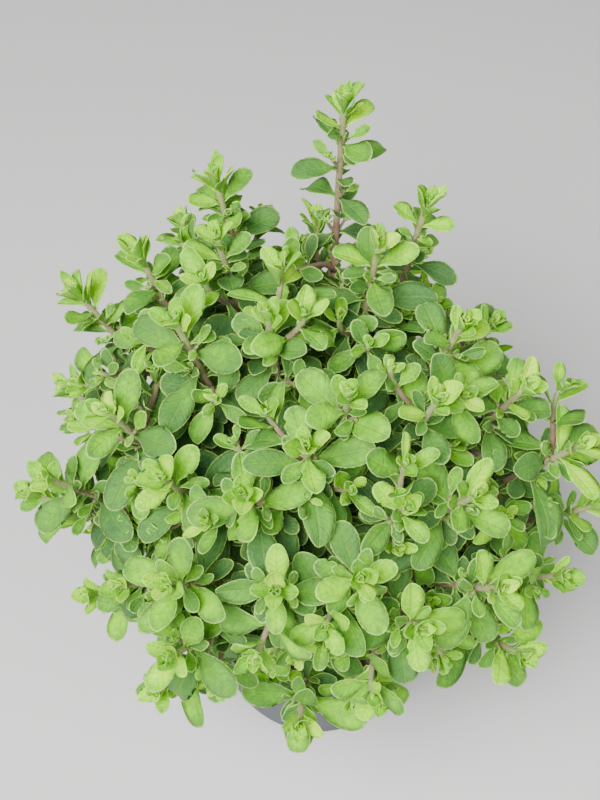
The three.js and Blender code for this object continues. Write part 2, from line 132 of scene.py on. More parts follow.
def add_piece(name, mesh, materials, slot, *nodes):
    """The finished piece: its materials, the body it rides on and the CAD nodes it stands for."""
    piece = in_scene(name, mesh)
    for material in materials:
        mesh.materials.append(material)
    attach(piece, "root")
    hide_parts(*nodes)


def turned_points(profile, sides):
    """Points of a profile of (radius, height) turned about the upright axis: each goes round
    as (radius cos a, radius sin a, height). Its two ends close on the axis."""
    profile = np.array(profile)
    angle = np.linspace(0, 2 * math.pi, sides, endpoint=False)
    radius, height = profile[1:-1, 0][:, None], profile[1:-1, 1][:, None]
    rings = np.stack([radius * np.cos(angle), radius * np.sin(angle),
                      np.broadcast_to(height, (len(height), sides))], -1)
    ends = np.array([[[0, 0, profile[0, 1]]], [[0, 0, profile[-1, 1]]]])
    return np.concatenate([ends[0], rings.reshape(-1, 3), ends[1]])


def wall_radius(height):
    """Outer radius of the pot's wall below the lip: it grows evenly with height."""
    return POT_BASE_RADIUS + (POT_TOP_RADIUS - LIP_STEP - POT_BASE_RADIUS) * height / LIP_FOOT


class Value:
    """A socket's value in a finish. Sums, differences and products add Math nodes."""

    def __init__(self, finish, socket):
        self.finish = finish
        self.socket = socket

    def _math(self, operation, *parts):
        return self.finish.node("ShaderNodeMath", {"operation": operation}, dict(enumerate(parts)))

    def __add__(self, other):
        return self._math("ADD", self, other)

    __radd__ = __add__

    def __sub__(self, other):
        return self._math("SUBTRACT", self, other)

    def __rsub__(self, other):
        return self._math("SUBTRACT", other, self)

    def __mul__(self, other):
        return self._math("MULTIPLY", self, other)

    __rmul__ = __mul__

    def __abs__(self):
        return self._math("ABSOLUTE", self)

    def fraction(self):
        """What the value has past its last whole number."""
        return self._math("FRACT", self)

    def clamped(self):
        """The value kept between 0 and 1."""
        return self._math("MINIMUM", self._math("MAXIMUM", self, 0), 1)

    def step(self, low, high):
        """0 below low, 1 above high and smooth between them; low may be the larger."""
        return self.finish.node("ShaderNodeMapRange", {"interpolation_type": "SMOOTHSTEP"},
                                {"Value": self, "From Min": low, "From Max": high})


class Finish:
    """A material being mixed for one of the plant's surfaces."""

    def __init__(self, name):
        self.material = bpy.data.materials.new(name)
        self.material.use_nodes = True
        self.tree = self.material.node_tree
        self.tree.nodes.clear()

    def node(self, kind, settings=None, inputs=None, output=None):
        """Any node: its type, its settings, then the values or links of its sockets. It
        returns the named output, or the first one in use."""
        made = self.tree.nodes.new(kind)
        for key, setting in (settings or {}).items():
            if key == "stops":
                self._set_stops(made.color_ramp, setting)
            else:
                setattr(made, key, setting)
        for key, given in (inputs or {}).items():
            socket = self._socket(made.inputs, key)
            if isinstance(given, Value):
                self.tree.links.new(given.socket, socket)
            else:
                socket.default_value = given
        usable = [socket for socket in made.outputs if not socket.is_unavailable]
        if not usable:
            return None
        return Value(self, self._socket(made.outputs, output) if output else usable[0])

    @staticmethod
    def _socket(sockets, key):
        if isinstance(key, int):
            return sockets[key]
        return next(one for one in sockets if one.name == key and not one.is_unavailable)

    @staticmethod
    def _set_stops(ramp, stops):
        while len(ramp.elements) < len(stops):
            ramp.elements.new(1)
        for element, (place, colour) in zip(ramp.elements, stops):
            element.position = place
            element.color = (*colour, 1)

    def parts_of(self, attribute):
        """The three numbers that a point attribute carries, each a value of its own."""
        whole = self.node("ShaderNodeAttribute", {"attribute_name": attribute}, output="Vector")
        return [self.node("ShaderNodeSeparateXYZ", {}, {"Vector": whole}, output=axis) for axis in "XYZ"]

    def noise(self, per_metre, detail=2, roughness=0.5):
        """Noise from 0 to 1 over the object's own coordinates."""
        place = self.node("ShaderNodeTexCoord", output="Object")
        return self.node("ShaderNodeTexNoise", {}, {"Vector": place, "Scale": per_metre,
                                                    "Detail": detail, "Roughness": roughness})

    def mix(self, share, first, second):
        """The first colour passing into the second by a share from 0 to 1."""
        colours = [(*one, 1) if isinstance(one, tuple) else one for one in (first, second)]
        return self.node("ShaderNodeMix", {"data_type": "RGBA"},
                         {"Factor": share, "A": colours[0], "B": colours[1]})

    def bump(self, height, depth):
        """A surface that stands proud by depth metres where height is 1."""
        return self.node("ShaderNodeBump", {}, {"Height": height, "Distance": depth})

    def done(self, **sockets):
        """Principled surface from sockets named with _ for a space, joined to the output."""
        named = {key.replace("_", " "): value for key, value in sockets.items()}
        surface = self.node("ShaderNodeBsdfPrincipled", {}, named)
        self.node("ShaderNodeOutputMaterial", {}, {"Surface": surface})
        return self.material


def slate_plastic():
    """Matt slate-grey plastic: fine moulded grain, faint scuffs and a little dried peat dust."""
    finish = Finish("slate_plastic")
    grain = finish.noise(2600, 2)
    cloud = finish.noise(45, 3)
    scuff = finish.noise(420, 4, 0.75).step(0.62, 0.78)
    dust = (finish.noise(900, 3, 0.7) * cloud).step(0.3, 0.42)
    colour = finish.mix(cloud, (0.052, 0.062, 0.076), (0.072, 0.086, 0.104))
    colour = finish.mix(scuff * 0.3, colour, (0.17, 0.19, 0.21))
    colour = finish.mix(dust * 0.25, colour, (0.11, 0.085, 0.06))
    return finish.done(
        Base_Color=colour, Roughness=0.46 + cloud * 0.12 + dust * 0.2 - scuff * 0.05,
        Normal=finish.bump(grain * 0.7 + scuff * 0.3, 0.08 * MM))


def beside(radius, height, offsets):
    """Profile points at offsets, each so many millimetres out and up, from a radius and a height."""
    return [(radius + out * MM, height + up * MM) for out, up in offsets]


floor_height = POT_WALL
inner_lip = POT_TOP_RADIUS - POT_WALL
wall_steps = np.linspace(0.03, 0.97, WALL_RINGS)
outer_wall = [(wall_radius(LIP_FOOT * step), LIP_FOOT * step) for step in wall_steps]
inner_wall = [(radius - POT_WALL, height) for radius, height in outer_wall[::-1]]
pot_profile = [
    (0, 0.8 * MM),
    *beside(POT_BASE_RADIUS, 0, ((-5, 0.8), (-4.4, 0.1), (-3.8, 0), (-0.8, 0), (-0.2, 0.4))),
    *outer_wall,
    *beside(wall_radius(LIP_FOOT), LIP_FOOT, ((-0.05, -0.2), (0.1, 0))),
    *beside(POT_TOP_RADIUS, LIP_FOOT, ((-0.9, 0.05), (-0.55, 0.5), (-0.3, 4.5))),
    *beside(POT_TOP_RADIUS, POT_HEIGHT, ((0, -1.2), (-0.2, -0.4), (-0.8, 0))),
    *beside(inner_lip, POT_HEIGHT, ((0, -0.2), (-0.3, -0.8))),
    *beside(inner_lip, LIP_FOOT, ((-0.7, 2),)),
    (wall_radius(LIP_FOOT) - POT_WALL, LIP_FOOT - 1 * MM),
    *inner_wall,
    *beside(POT_BASE_RADIUS, floor_height, ((-2.6, 0.4), (-3.4, 0))),
    (0, floor_height),
]
pot_mesh = make_mesh("pot", turned_points(pot_profile, POT_SIDES),
                     tube_faces(len(pot_profile) - 2, POT_SIDES))


def drilled(mesh):
    """The mesh with its drain holes cut through the floor, evenly spaced on a circle."""
    reach = 3 * POT_WALL
    profile = [(0, -reach), (DRAIN_RADIUS, -reach), (DRAIN_RADIUS, reach), (0, reach)]
    drill_points = turned_points(profile, DRAIN_SIDES)
    turns = [2 * math.pi * k / DRAIN_COUNT for k in range(DRAIN_COUNT)]
    points = np.concatenate([
        drill_points + np.array((DRAIN_CIRCLE * math.cos(turn), DRAIN_CIRCLE * math.sin(turn), 0))
        for turn in turns])
    faces = [np.concatenate([one + k * len(drill_points) for k in range(DRAIN_COUNT)])
             for one in tube_faces(2, DRAIN_SIDES)]
    blank = in_scene("blank", mesh)
    drills = in_scene("drills", make_mesh("drills", points, faces))
    cut = blank.modifiers.new("cut", "BOOLEAN")
    cut.operation = "DIFFERENCE"
    cut.solver = "EXACT"
    cut.object = drills
    bpy.context.view_layer.update()
    result = bpy.data.meshes.new_from_object(blank.evaluated_get(bpy.context.evaluated_depsgraph_get()))
    for spent in (blank, drills):
        bpy.data.objects.remove(spent)
    result.name = mesh.name + "_drilled"
    return result


pot_mesh = drilled(pot_mesh)
pot_mesh.shade_smooth()
pot_mesh.set_sharp_from_angle(angle=SHARP_EDGE)
add_piece("nursery_pot", pot_mesh, [slate_plastic()], "slate_plastic", "pot")


# Soil: damp peat compost, pressed in by hand to just under the lip. Its top is crumbly, with
# loose crumbs and a few white grains of perlite.
SOIL_TOP = 82 * MM
FIT_GAP = 0.3 * MM
SOIL_CHAMFER = 2 * MM
SOIL_SIDES = 96
SOIL_RINGS = 30
CRUMB_COUNT = 900
PERLITE_COUNT = 70
SOIL_LUMP = 1 * MM
WAVE_COUNT = 14
WAVE_LENGTHS = (5, 26)
WAVE_HEIGHTS = (0.12, 0.3)
soil_draw = np.random.default_rng(11)


def hills(x, y, waves):
    """Smooth uneven ground: a sum of plane waves, each of a heading, length, phase and height."""
    total = np.zeros_like(x)
    for heading, length, phase, height in waves:
        run = x * math.cos(heading) + y * math.sin(heading)
        total += height * np.sin(2 * math.pi * run / length + phase)
    return total


soil_waves = [(soil_draw.uniform(0, math.pi), soil_draw.uniform(*WAVE_LENGTHS) * MM,
               soil_draw.uniform(0, 2 * math.pi), soil_draw.uniform(*WAVE_HEIGHTS) * MM)
              for _ in range(WAVE_COUNT)]


def soil_height(x, y):
    """Height of the soil's top: nearly level, lumpy by at most a millimetre each way."""
    return SOIL_TOP + np.clip(hills(x, y, soil_waves), -SOIL_LUMP, SOIL_LUMP)


soil_bottom = POT_WALL + FIT_GAP
soil_edge = wall_radius(SOIL_TOP) - POT_WALL - FIT_GAP
soil_foot = wall_radius(soil_bottom) - POT_WALL - FIT_GAP
top_radii = np.linspace(soil_edge, soil_edge / SOIL_RINGS, SOIL_RINGS)
soil_profile = [(0, soil_bottom), (soil_foot - SOIL_CHAMFER, soil_bottom),
                (soil_foot, soil_bottom + SOIL_CHAMFER)]
soil_profile += [(radius, SOIL_TOP) for radius in top_radii]
soil_profile += [(0, SOIL_TOP)]
soil_points = turned_points(soil_profile, SOIL_SIDES)
on_top = soil_points[:, 2] > SOIL_TOP - SOIL_LUMP
soil_points[on_top, 2] = soil_height(soil_points[on_top, 0], soil_points[on_top, 1])

CRUMB_CORNERS = np.array([
    (0, 0, -1), (0.72, 0, -0.4), (-0.36, 0.62, -0.4), (-0.36, -0.62, -0.4),
    (0.36, 0.62, 0.4), (-0.72, 0, 0.4), (0.36, -0.62, 0.4), (0, 0, 1)])
CRUMB_FACES = np.array([
    (0, 2, 1), (0, 3, 2), (0, 1, 3), (1, 2, 4), (2, 5, 4), (2, 3, 5),
    (3, 6, 5), (3, 1, 6), (1, 4, 6), (4, 5, 7), (5, 6, 7), (6, 4, 7)])


def crumbs(count, smallest, largest):
    """Loose grains on the soil: one eight-cornered grain, each copy with its corners pushed
    in or out, turned and sized at random, and half sunk into the top."""
    spread = soil_edge * 0.97 * np.sqrt(soil_draw.uniform(0, 1, count))
    bearing = soil_draw.uniform(0, 2 * math.pi, count)
    x, y = spread * np.cos(bearing), spread * np.sin(bearing)
    size = smallest + (largest - smallest) * soil_draw.uniform(0, 1, count) ** 2
    corners = CRUMB_CORNERS * soil_draw.uniform(0.6, 1.2, (count, 8, 3)) * size[:, None, None]
    turn = soil_draw.uniform(0, 2 * math.pi, count)[:, None]
    rolled = np.stack([corners[..., 0] * np.cos(turn) - corners[..., 1] * np.sin(turn),
                       corners[..., 0] * np.sin(turn) + corners[..., 1] * np.cos(turn),
                       corners[..., 2] * 0.8], -1)
    points = rolled + np.stack([x, y, soil_height(x, y) + size * 0.25], -1)[:, None, :]
    faces = CRUMB_FACES[None] + 8 * np.arange(count)[:, None, None]
    return points.reshape(-1, 3), faces.reshape(-1, 3)


def damp_peat():
    """Damp peat: dark brown with lighter fibres, dry on its high crumbs."""
    finish = Finish("damp_peat")
    fibre = finish.noise(1500, 5, 0.7)
    patch = finish.noise(120, 3)
    colour = finish.mix(patch, (0.018, 0.011, 0.007), (0.05, 0.031, 0.019))
    colour = finish.mix(fibre.step(0.56, 0.7) * 0.5, colour, (0.12, 0.075, 0.042))
    return finish.done(Base_Color=colour, Roughness=0.72 + fibre * 0.2,
                       Normal=finish.bump(fibre, 0.5 * MM))


def perlite():
    """Perlite: white puffed glass, chalky and slightly stained by the peat."""
    finish = Finish("perlite")
    stain = finish.noise(800, 3)
    colour = finish.mix(stain.step(0.4, 0.7), (0.72, 0.7, 0.65), (0.42, 0.36, 0.28))
    return finish.done(Base_Color=colour, Roughness=0.9, Normal=finish.bump(stain, 0.2 * MM))


crumb_points, crumb_faces = crumbs(CRUMB_COUNT, 0.5 * MM, 2.2 * MM)
grain_points, grain_faces = crumbs(PERLITE_COUNT, 0.7 * MM, 1.9 * MM)
soil_quads, soil_caps = tube_faces(len(soil_profile) - 2, SOIL_SIDES)
soil_mesh = make_mesh(
    "soil", np.concatenate([soil_points, crumb_points, grain_points]),
    [soil_quads, soil_caps, crumb_faces + len(soil_points),
     grain_faces + len(soil_points) + len(crumb_points)])
soil_finish = np.zeros(len(soil_mesh.polygons), np.int32)
soil_finish[-len(grain_faces):] = 1
soil_mesh.polygons.foreach_set("material_index", soil_finish)
add_piece("peat_soil", soil_mesh, [damp_peat(), perlite()], "peat_soil", "soil")


# Leafy stems: each is one grown piece, a square downy stem with crossed pairs of spoon-shaped
# felted leaves, side shoots from its leaf pairs and a bud of folded young leaves at each tip.
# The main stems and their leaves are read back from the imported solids, so they keep their form.
GUIDE_SHARES = np.array([0, 0.27, 0.62, 0.88, 1])
LEAF_CUP = 0.16
PACKED_TRIM = (0.86, 1.0)
PACKED_WIDTH = (0.88, 1.04)
PACKED_FOLD = (2.6, 5)
grow = np.random.default_rng(5)


def joined_corners(node):
    """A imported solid's points and triangles with its loose corners joined where they meet."""
    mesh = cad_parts[node].data
    places = np.empty(3 * len(mesh.vertices), np.float32)
    mesh.vertices.foreach_get("co", places)
    corners = np.empty(len(mesh.loops), np.int32)
    mesh.loops.foreach_get("vertex_index", corners)
    places = places.reshape(-1, 3).astype(float)
    for nudge in (0, 0.31, 0.57, 0.83):
        cells = np.floor(places / (0.02 * MM) + nudge).astype(np.int64)
        _, first, which = np.unique(cells, axis=0, return_index=True, return_inverse=True)
        triangles = which.ravel()[corners].reshape(-1, 3)
        edges = np.concatenate([triangles[:, [0, 1]], triangles[:, [1, 2]], triangles[:, [2, 0]]])
        single = np.unique(np.sort(edges, 1), axis=0)
        if len(first) - len(single) + len(triangles) == 2:
            return places[first], triangles
    raise ValueError(f"the corners of {node} don't join into one closed solid")


def read_stem(node):
    """A packed leafy stem taken apart: the centres of its rings from root to bud, and for each
    leaf its ring and its sections of left rim, ridge and right rim, then its tip."""
    points, triangles = joined_corners(node)
    after = {}
    near = [set() for _ in points]
    for a, b, c in triangles.tolist():
        after[a, b], after[b, c], after[c, a] = c, a, b
        near[a] |= {b, c}
        near[b] |= {a, c}
        near[c] |= {a, b}
    tips = {i for i, around in enumerate(near) if len(around) == 3}
    of_leaf = set(tips)
    for tip in tips:
        section = {tip}
        for _ in range(3):
            section = set().union(*(near[i] for i in section)) - of_leaf
            of_leaf |= section
    apex = max((i for i, around in enumerate(near) if len(around) == 4), key=lambda i: points[i][2])
    ring_of = {apex: 0}
    ring = {apex}
    rings = [[apex]]
    while ring:
        ring = set().union(*(near[i] for i in ring)) - of_leaf - set(ring_of)
        if ring and len(ring) != 4:
            raise ValueError(f"{node} has a ring of {len(ring)} points")
        ring_of.update({i: len(rings) for i in ring})
        if ring:
            rings.append(sorted(ring))
    leaves = []
    for (a, b), c in after.items():
        if c in of_leaf and a in ring_of and b in ring_of and ring_of[b] > ring_of[a]:
            other = next(i for i in near[a] & near[b] if ring_of.get(i) == ring_of[a] and (b, i) in after
                         and after[b, i] in of_leaf)
            last = [a, b, other]
            sections = [last]
            for _ in range(3):
                found = [after[last[k], last[(k + 1) % 3]] for k in range(3)]
                last = [found[2], found[0], found[1]]
                sections.append(last)
            tip = after[last[0], last[1]]
            if tip in tips:
                leaves.append((len(rings) - 1 - ring_of[b], points[np.array(sections)], points[tip]))
    if len(leaves) != len(tips):
        raise ValueError(f"{node} has {len(tips)} leaf tips but {len(leaves)} leaves")
    centres = np.array([points[ring].mean(0) for ring in rings[::-1]])
    return centres, leaves


def unit(vectors):
    """The vectors at length one."""
    return vectors / np.linalg.norm(vectors, axis=-1, keepdims=True)


# Leaf outline: share of the length and of the greatest width, from the stalk to the round tip
LEAF_OUTLINE = np.array([
    (0, 0.17), (0.1, 0.19), (0.18, 0.31), (0.27, 0.49), (0.38, 0.73), (0.5, 0.92), (0.62, 1),
    (0.74, 0.98), (0.84, 0.87), (0.91, 0.71), (0.955, 0.53), (0.985, 0.3), (1, 0)])
LEAF_HALF_WIDTH = 0.285
LEAF_ROUND = ((1, 0.55, 0, -0.55, -1), (-0.55, 0, 0.55))
LARGE_LEAF_RINGS = (0, 0.14, 0.26, 0.38, 0.5, 0.62, 0.74, 0.84, 0.92, 0.975)
MIDDLE_LEAF_RINGS = (0, 0.14, 0.3, 0.47, 0.64, 0.8, 0.91, 0.97)
SMALL_LEAF_ROUND = ((1, 0, -1), (-0.5, 0.5))
SMALL_LEAF_RINGS = (0, 0.22, 0.48, 0.74, 0.92)
LARGE_LEAF_LENGTH = 15 * MM
SMALL_LEAF_LENGTH = 8 * MM


def guide_basis(shares):
    """Weights that carry a smooth curve through five guide points, and those of its slope:
    each weight is the product of (share - other) / (own - other) over the other guide shares."""
    shares = np.asarray(shares, float)

    def weights(at):
        columns = []
        for k, own in enumerate(GUIDE_SHARES):
            others = np.delete(GUIDE_SHARES, k)
            columns.append(np.prod((at[:, None] - others) / (own - others), axis=1))
        return np.stack(columns, 1)

    nudge = 1e-4
    return weights(shares), (weights(shares + nudge) - weights(shares - nudge)) / (2 * nudge)


def width_at(shares):
    """Share of the greatest width at shares of the length."""
    return np.interp(shares, LEAF_OUTLINE[:, 0], LEAF_OUTLINE[:, 1])


class LeafPattern:
    """A leaf's grid: rings from stalk to tip, each going over the top from one rim to the
    other and back below. For every point it holds its share of the length, its place across
    from -1 to 1, whether it is below, and its distance from the rim in leaf lengths."""

    def __init__(self, rings, top_and_under):
        top, under = top_and_under
        across = np.array([*top, *under], float)
        below = np.array([0.0] * len(top) + [1.0] * len(under))
        self.around = len(across)
        self.ring_shares = np.array([*rings, 1.0])
        ring = np.repeat(np.arange(len(rings)), self.around)
        self.ring = np.concatenate([[0], ring, [len(rings)]])
        self.across = np.concatenate([[0], np.tile(across, len(rings)), [0]])
        self.below = np.concatenate([[0.5], np.tile(below, len(rings)), [0.5]])
        self.share = self.ring_shares[self.ring]
        self.width = width_at(self.share)
        self.faces = tube_faces(len(rings), self.around)
        self.basis, self.slope = guide_basis(self.ring_shares)
        outline = np.linspace(0, 1, 240)
        rim = np.stack([outline, LEAF_HALF_WIDTH * width_at(outline)], 1)
        own = np.stack([self.share, LEAF_HALF_WIDTH * self.width * np.abs(self.across)], 1)
        gaps = np.linalg.norm(own[:, None] - rim[None], axis=2)
        self.rim_distance = gaps.min(1)


LARGE_LEAF = LeafPattern(LARGE_LEAF_RINGS, LEAF_ROUND)
MIDDLE_LEAF = LeafPattern(MIDDLE_LEAF_RINGS, LEAF_ROUND)
SMALL_LEAF = LeafPattern(SMALL_LEAF_RINGS, SMALL_LEAF_ROUND)


class Leaf:
    """One leaf: five guide points along its middle with the direction across at each, half
    its greatest width, how far its sides fold up in radians, its age from 0 in the bud to 1
    at the foot of the plant, and its own tone, ripple, phase, twist, tip curl and
    pointedness. Young leaves are the pointed ones, and those whose tip hangs lower than the
    pot's rim stay straight, to clear it."""

    def __init__(self, spine, side, half, age, fold):
        self.spine = spine
        self.side = side
        self.half = half
        self.age = age
        self.fold = fold
        self.length = np.linalg.norm(np.diff(spine, axis=0), axis=1).sum()
        self.tone = grow.uniform(-1, 1)
        self.ripple = grow.uniform(0.3, 1)
        self.phase = grow.uniform(0, 2 * math.pi)
        self.point = max(0, 0.4 - 1.4 * age) + grow.uniform(0, 0.3)
        free = np.clip((spine[-1][2] - POT_HEIGHT) / (10 * MM), 0, 1)
        self.twist = grow.normal(0, LEAF_TWIST) * free
        self.curl = grow.normal(0.12, TIP_CURL) * min(1, 2 * age + 0.2) * free

    def samples(self):
        """Points spread over the blade, to test whether it is clear."""
        spine = SAMPLE_BASIS @ self.spine
        side = unit(SAMPLE_BASIS @ self.side)
        spread = self.half * SAMPLE_WIDTHS[:, None] * SAMPLE_ACROSS
        return (spine[:, None] + side[:, None] * spread[..., None]).reshape(-1, 3)


SAMPLE_SHARES = np.linspace(0.28, 0.97, 8)
SAMPLE_WIDTHS = width_at(SAMPLE_SHARES)
SAMPLE_ACROSS = np.array([-0.9, -0.45, 0, 0.45, 0.9])
SAMPLE_BASIS = guide_basis(SAMPLE_SHARES)[0]


def packed_leaf(sections, tip, age):
    """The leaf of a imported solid: its middle runs below the line between its rims, because
    the rims stand up by the cup's share of the half width."""
    across = sections[1:, 2] - sections[1:, 0]
    halves = np.linalg.norm(across, axis=1) / 2
    side = unit(across)
    middle = (sections[1:, 0] + sections[1:, 2]) / 2
    upward = middle - sections[1:, 1]
    upward = unit(upward - (upward * side).sum(1, keepdims=True) * side)
    middle = middle - upward * (LEAF_CUP * halves)[:, None]
    spine = np.concatenate([[sections[0].mean(0)], middle, [tip]])
    side = np.concatenate([side[:1], side, side[-1:]])
    half = halves[1] * grow.uniform(*PACKED_WIDTH) * np.interp(halves[1], [4 * MM, 6.5 * MM], [1, 0.84])
    spine = spine[0] + (spine - spine[0]) * grow.uniform(*PACKED_TRIM)
    return Leaf(spine, side, half, age, grow.uniform(*PACKED_FOLD) * LEAF_CUP)


CANOPY_CENTRE = np.array([-3, 0, 155]) * MM
CANOPY_RADII = np.array([98, 98, 94]) * MM

# Leaves roll part of the way to face the light. It came from the front and above, and those
# on the far side of the ball face out and up.
FRONT_LIGHT = np.array([0, -0.62, 0.78])
FAR_LIGHT_RISE = math.radians(60)
FAR_SIDE_FADE = 1.5
LIGHT_SHARE = 0.5
LIGHT_ROLL = math.radians(32)


def light_on(place):
    """Where the light on a leaf comes from: the front light, passing into a light from outside
    and above by how far the leaf's way out of the ball is turned from the front light."""
    way = unit((place - CANOPY_CENTRE) / CANOPY_RADII)
    share = np.clip(0.5 + FAR_SIDE_FADE * way.dot(FRONT_LIGHT), 0, 1)
    flat = unit(way[:2]) * math.cos(FAR_LIGHT_RISE)
    return unit(share * FRONT_LIGHT + (1 - share) * np.array([*flat, math.sin(FAR_LIGHT_RISE)]))


def roll_to_light(axis, outward, angle, light):
    """Roll about a leaf's heading that turns its face to the light: the whole turn's sine is
    the light's part against the leaf's side, and its cosine the light's part along its face."""
    side = np.cross(axis, outward)
    face = axis * math.sin(angle) - outward * math.cos(angle)
    whole = math.atan2(-light.dot(side), light.dot(face))
    return float(np.clip(LIGHT_SHARE * whole, -LIGHT_ROLL, LIGHT_ROLL))


def new_leaf(foot, axis, outward, length, angle, arch, roll, half_width, age, fold):
    """A grown leaf: it sets off from its foot at an angle from the stem's axis and bends
    outward evenly by the arch, rolled about its own middle."""
    turns = angle + arch * (GUIDE_SHARES[1:] + GUIDE_SHARES[:-1]) / 2
    steps = length * np.diff(GUIDE_SHARES)
    headings = axis * np.cos(turns)[:, None] + outward * np.sin(turns)[:, None]
    spine = np.concatenate([[foot], foot + np.cumsum(headings * steps[:, None], 0)])
    turns = angle + arch * GUIDE_SHARES
    upward = axis * np.sin(turns)[:, None] - outward * np.cos(turns)[:, None]
    level = np.cross(axis, outward)
    side = level * math.cos(roll) + upward * math.sin(roll)
    return Leaf(spine, side, length * half_width, age, fold)


BLADE_THICKNESS = 0.42 * MM
STALK_THICKNESS = 1.1 * MM
MIDRIB_DEPTH = 0.4 * MM
RIPPLE = 0.15
LEAF_TWIST = 0.34
TWIST_STILL = 0.35
TIP_CURL = 0.3
RIPPLE_WAVES = 9
RIPPLE_SHIFT = 2.1


def leaf_points(pattern, leaves):
    """Points of all leaves of one pattern at once. Across the leaf a point goes round an arc
    of the leaf's fold, sin(c f) / f across and (1 - cos(c f)) / f up, in half widths; the
    rims ripple by a sine along the length, and the underside lies a blade's thickness below.
    The sides turn about the middle evenly along the length by the twist, and past its half
    the tip bends down by the curl times the square of the share."""
    spine = np.stack([leaf.spine for leaf in leaves])
    side = np.stack([leaf.side for leaf in leaves])
    middle = np.einsum("rk,lkx->lrx", pattern.basis, spine)
    heading = unit(np.einsum("rk,lkx->lrx", pattern.slope, spine))
    side = unit(np.einsum("rk,lkx->lrx", pattern.basis, side))
    upward = unit(np.cross(heading, side))
    half, fold, ripple, phase, length, point, twist, curl, age, tone = (
        np.array([getattr(leaf, key) for leaf in leaves])[:, None] for key in (
            "half", "fold", "ripple", "phase", "length", "point", "twist", "curl", "age", "tone"))
    turn = (twist * (pattern.ring_shares - TWIST_STILL))[..., None]
    side, upward = side * np.cos(turn) + upward * np.sin(turn), upward * np.cos(turn) - side * np.sin(turn)
    middle = middle - upward * (curl * length * np.clip(pattern.ring_shares - 0.5, 0, 1) ** 2)[..., None]
    blade = half * pattern.width * (1 - 0.6 * point * np.clip(2 * pattern.share - 1, 0, 1) ** 1.5)
    out = blade * np.sin(pattern.across * fold) / fold
    cup = blade * (1 - np.cos(pattern.across * fold)) / fold
    wave = blade * RIPPLE * ripple * pattern.across ** 2 * np.sin(
        RIPPLE_WAVES * pattern.share + phase + RIPPLE_SHIFT * np.sign(pattern.across))
    inner = 1 - np.abs(pattern.across)
    thickness = np.interp(pattern.share, [0, 0.1, 0.25, 0.9, 1], [
        STALK_THICKNESS, STALK_THICKNESS, BLADE_THICKNESS, BLADE_THICKNESS, 0.2 * MM])
    thickness = thickness * np.clip(length / (14 * MM), 0.35, 1)
    groove = MIDRIB_DEPTH * inner ** 4 * np.sin(math.pi * pattern.share) * np.clip(length / (16 * MM), 0, 1)
    up = cup + wave + thickness * 0.5 * (1 - pattern.below * 2) * (np.abs(pattern.across) < 0.99)
    up = up - groove
    ring = pattern.ring
    points = middle[:, ring] + side[:, ring] * out[..., None] + upward[:, ring] * up[..., None]
    place = np.stack(np.broadcast_arrays(
        pattern.across, pattern.share, pattern.rim_distance * length / MM), -1)
    kind = np.stack(np.broadcast_arrays(age, tone, pattern.below + 0 * age), -1)
    return points, place, kind


PATH_STEP = 1.5 * MM
ARCH_POINTS = 24
ARCH_PULL = 0.36


class Path:
    """A stem's middle line from foot to tip, in even short steps. Between two of its points it
    follows the cubic that leaves the first with its slope and reaches the second with its own."""

    def __init__(self, points):
        gaps = np.linalg.norm(np.diff(points, axis=0), axis=1)
        run = np.concatenate([[0], np.cumsum(gaps)])
        slopes = np.gradient(points, run, axis=0)
        self.length = run[-1]
        self.run = np.linspace(0, self.length, max(4, int(self.length / PATH_STEP) + 1))
        which = np.clip(np.searchsorted(run, self.run, "right") - 1, 0, len(points) - 2)
        gap = gaps[which][:, None]
        t = ((self.run - run[which]) / gaps[which])[:, None]
        first, second = points[which], points[which + 1]
        out, into = slopes[which] * gap, slopes[which + 1] * gap
        self.points = ((2 * t ** 3 - 3 * t ** 2 + 1) * first + (t ** 3 - 2 * t ** 2 + t) * out
                       + (3 * t ** 2 - 2 * t ** 3) * second + (t ** 3 - t ** 2) * into)
        self.tangents = unit(np.gradient(self.points, axis=0))

    def at(self, run):
        """Place and direction at a distance from the foot, or at each of several."""
        place, tangent = (np.stack([np.interp(run, self.run, line[:, k]) for k in range(3)], -1)
                          for line in (self.points, self.tangents))
        return place, unit(tangent)


def arching(foot, start, tip, end):
    """Points of a stem that leaves its foot one way and reaches its tip another: a cubic
    Bezier curve whose two inner points lie a share of the span, the pull, along those ways."""
    pull = np.linalg.norm(tip - foot) * ARCH_PULL
    t = np.linspace(0, 1, ARCH_POINTS)[:, None]
    return ((1 - t) ** 3 * foot + 3 * t * (1 - t) ** 2 * (foot + start * pull)
            + 3 * t ** 2 * (1 - t) * (tip - end * pull) + t ** 3 * tip)


ROOM_CELL = 2 * MM
ROOM_MARGIN = 0.015
RIM_BREADTH = 4 * MM


class Room:
    """The plant's room in small cells, to keep new growth clear of what stands already."""

    def __init__(self, low, high):
        self.low = low
        self.high = high
        self.taken = np.zeros(np.ceil((high - low) / ROOM_CELL).astype(int) + 1, bool)

    def _cells(self, points):
        return tuple(((points - self.low) / ROOM_CELL).astype(int).T)

    def clashes(self, points):
        """How many of the points lie in taken cells, or all if any lies outside the room."""
        if (points < self.low).any() or (points > self.high).any():
            return len(points)
        return np.count_nonzero(self.taken[self._cells(points)])

    def take(self, points):
        """Marks the points' cells as taken."""
        inside = ((points >= self.low) & (points <= self.high)).all(1)
        self.taken[self._cells(points[inside])] = True


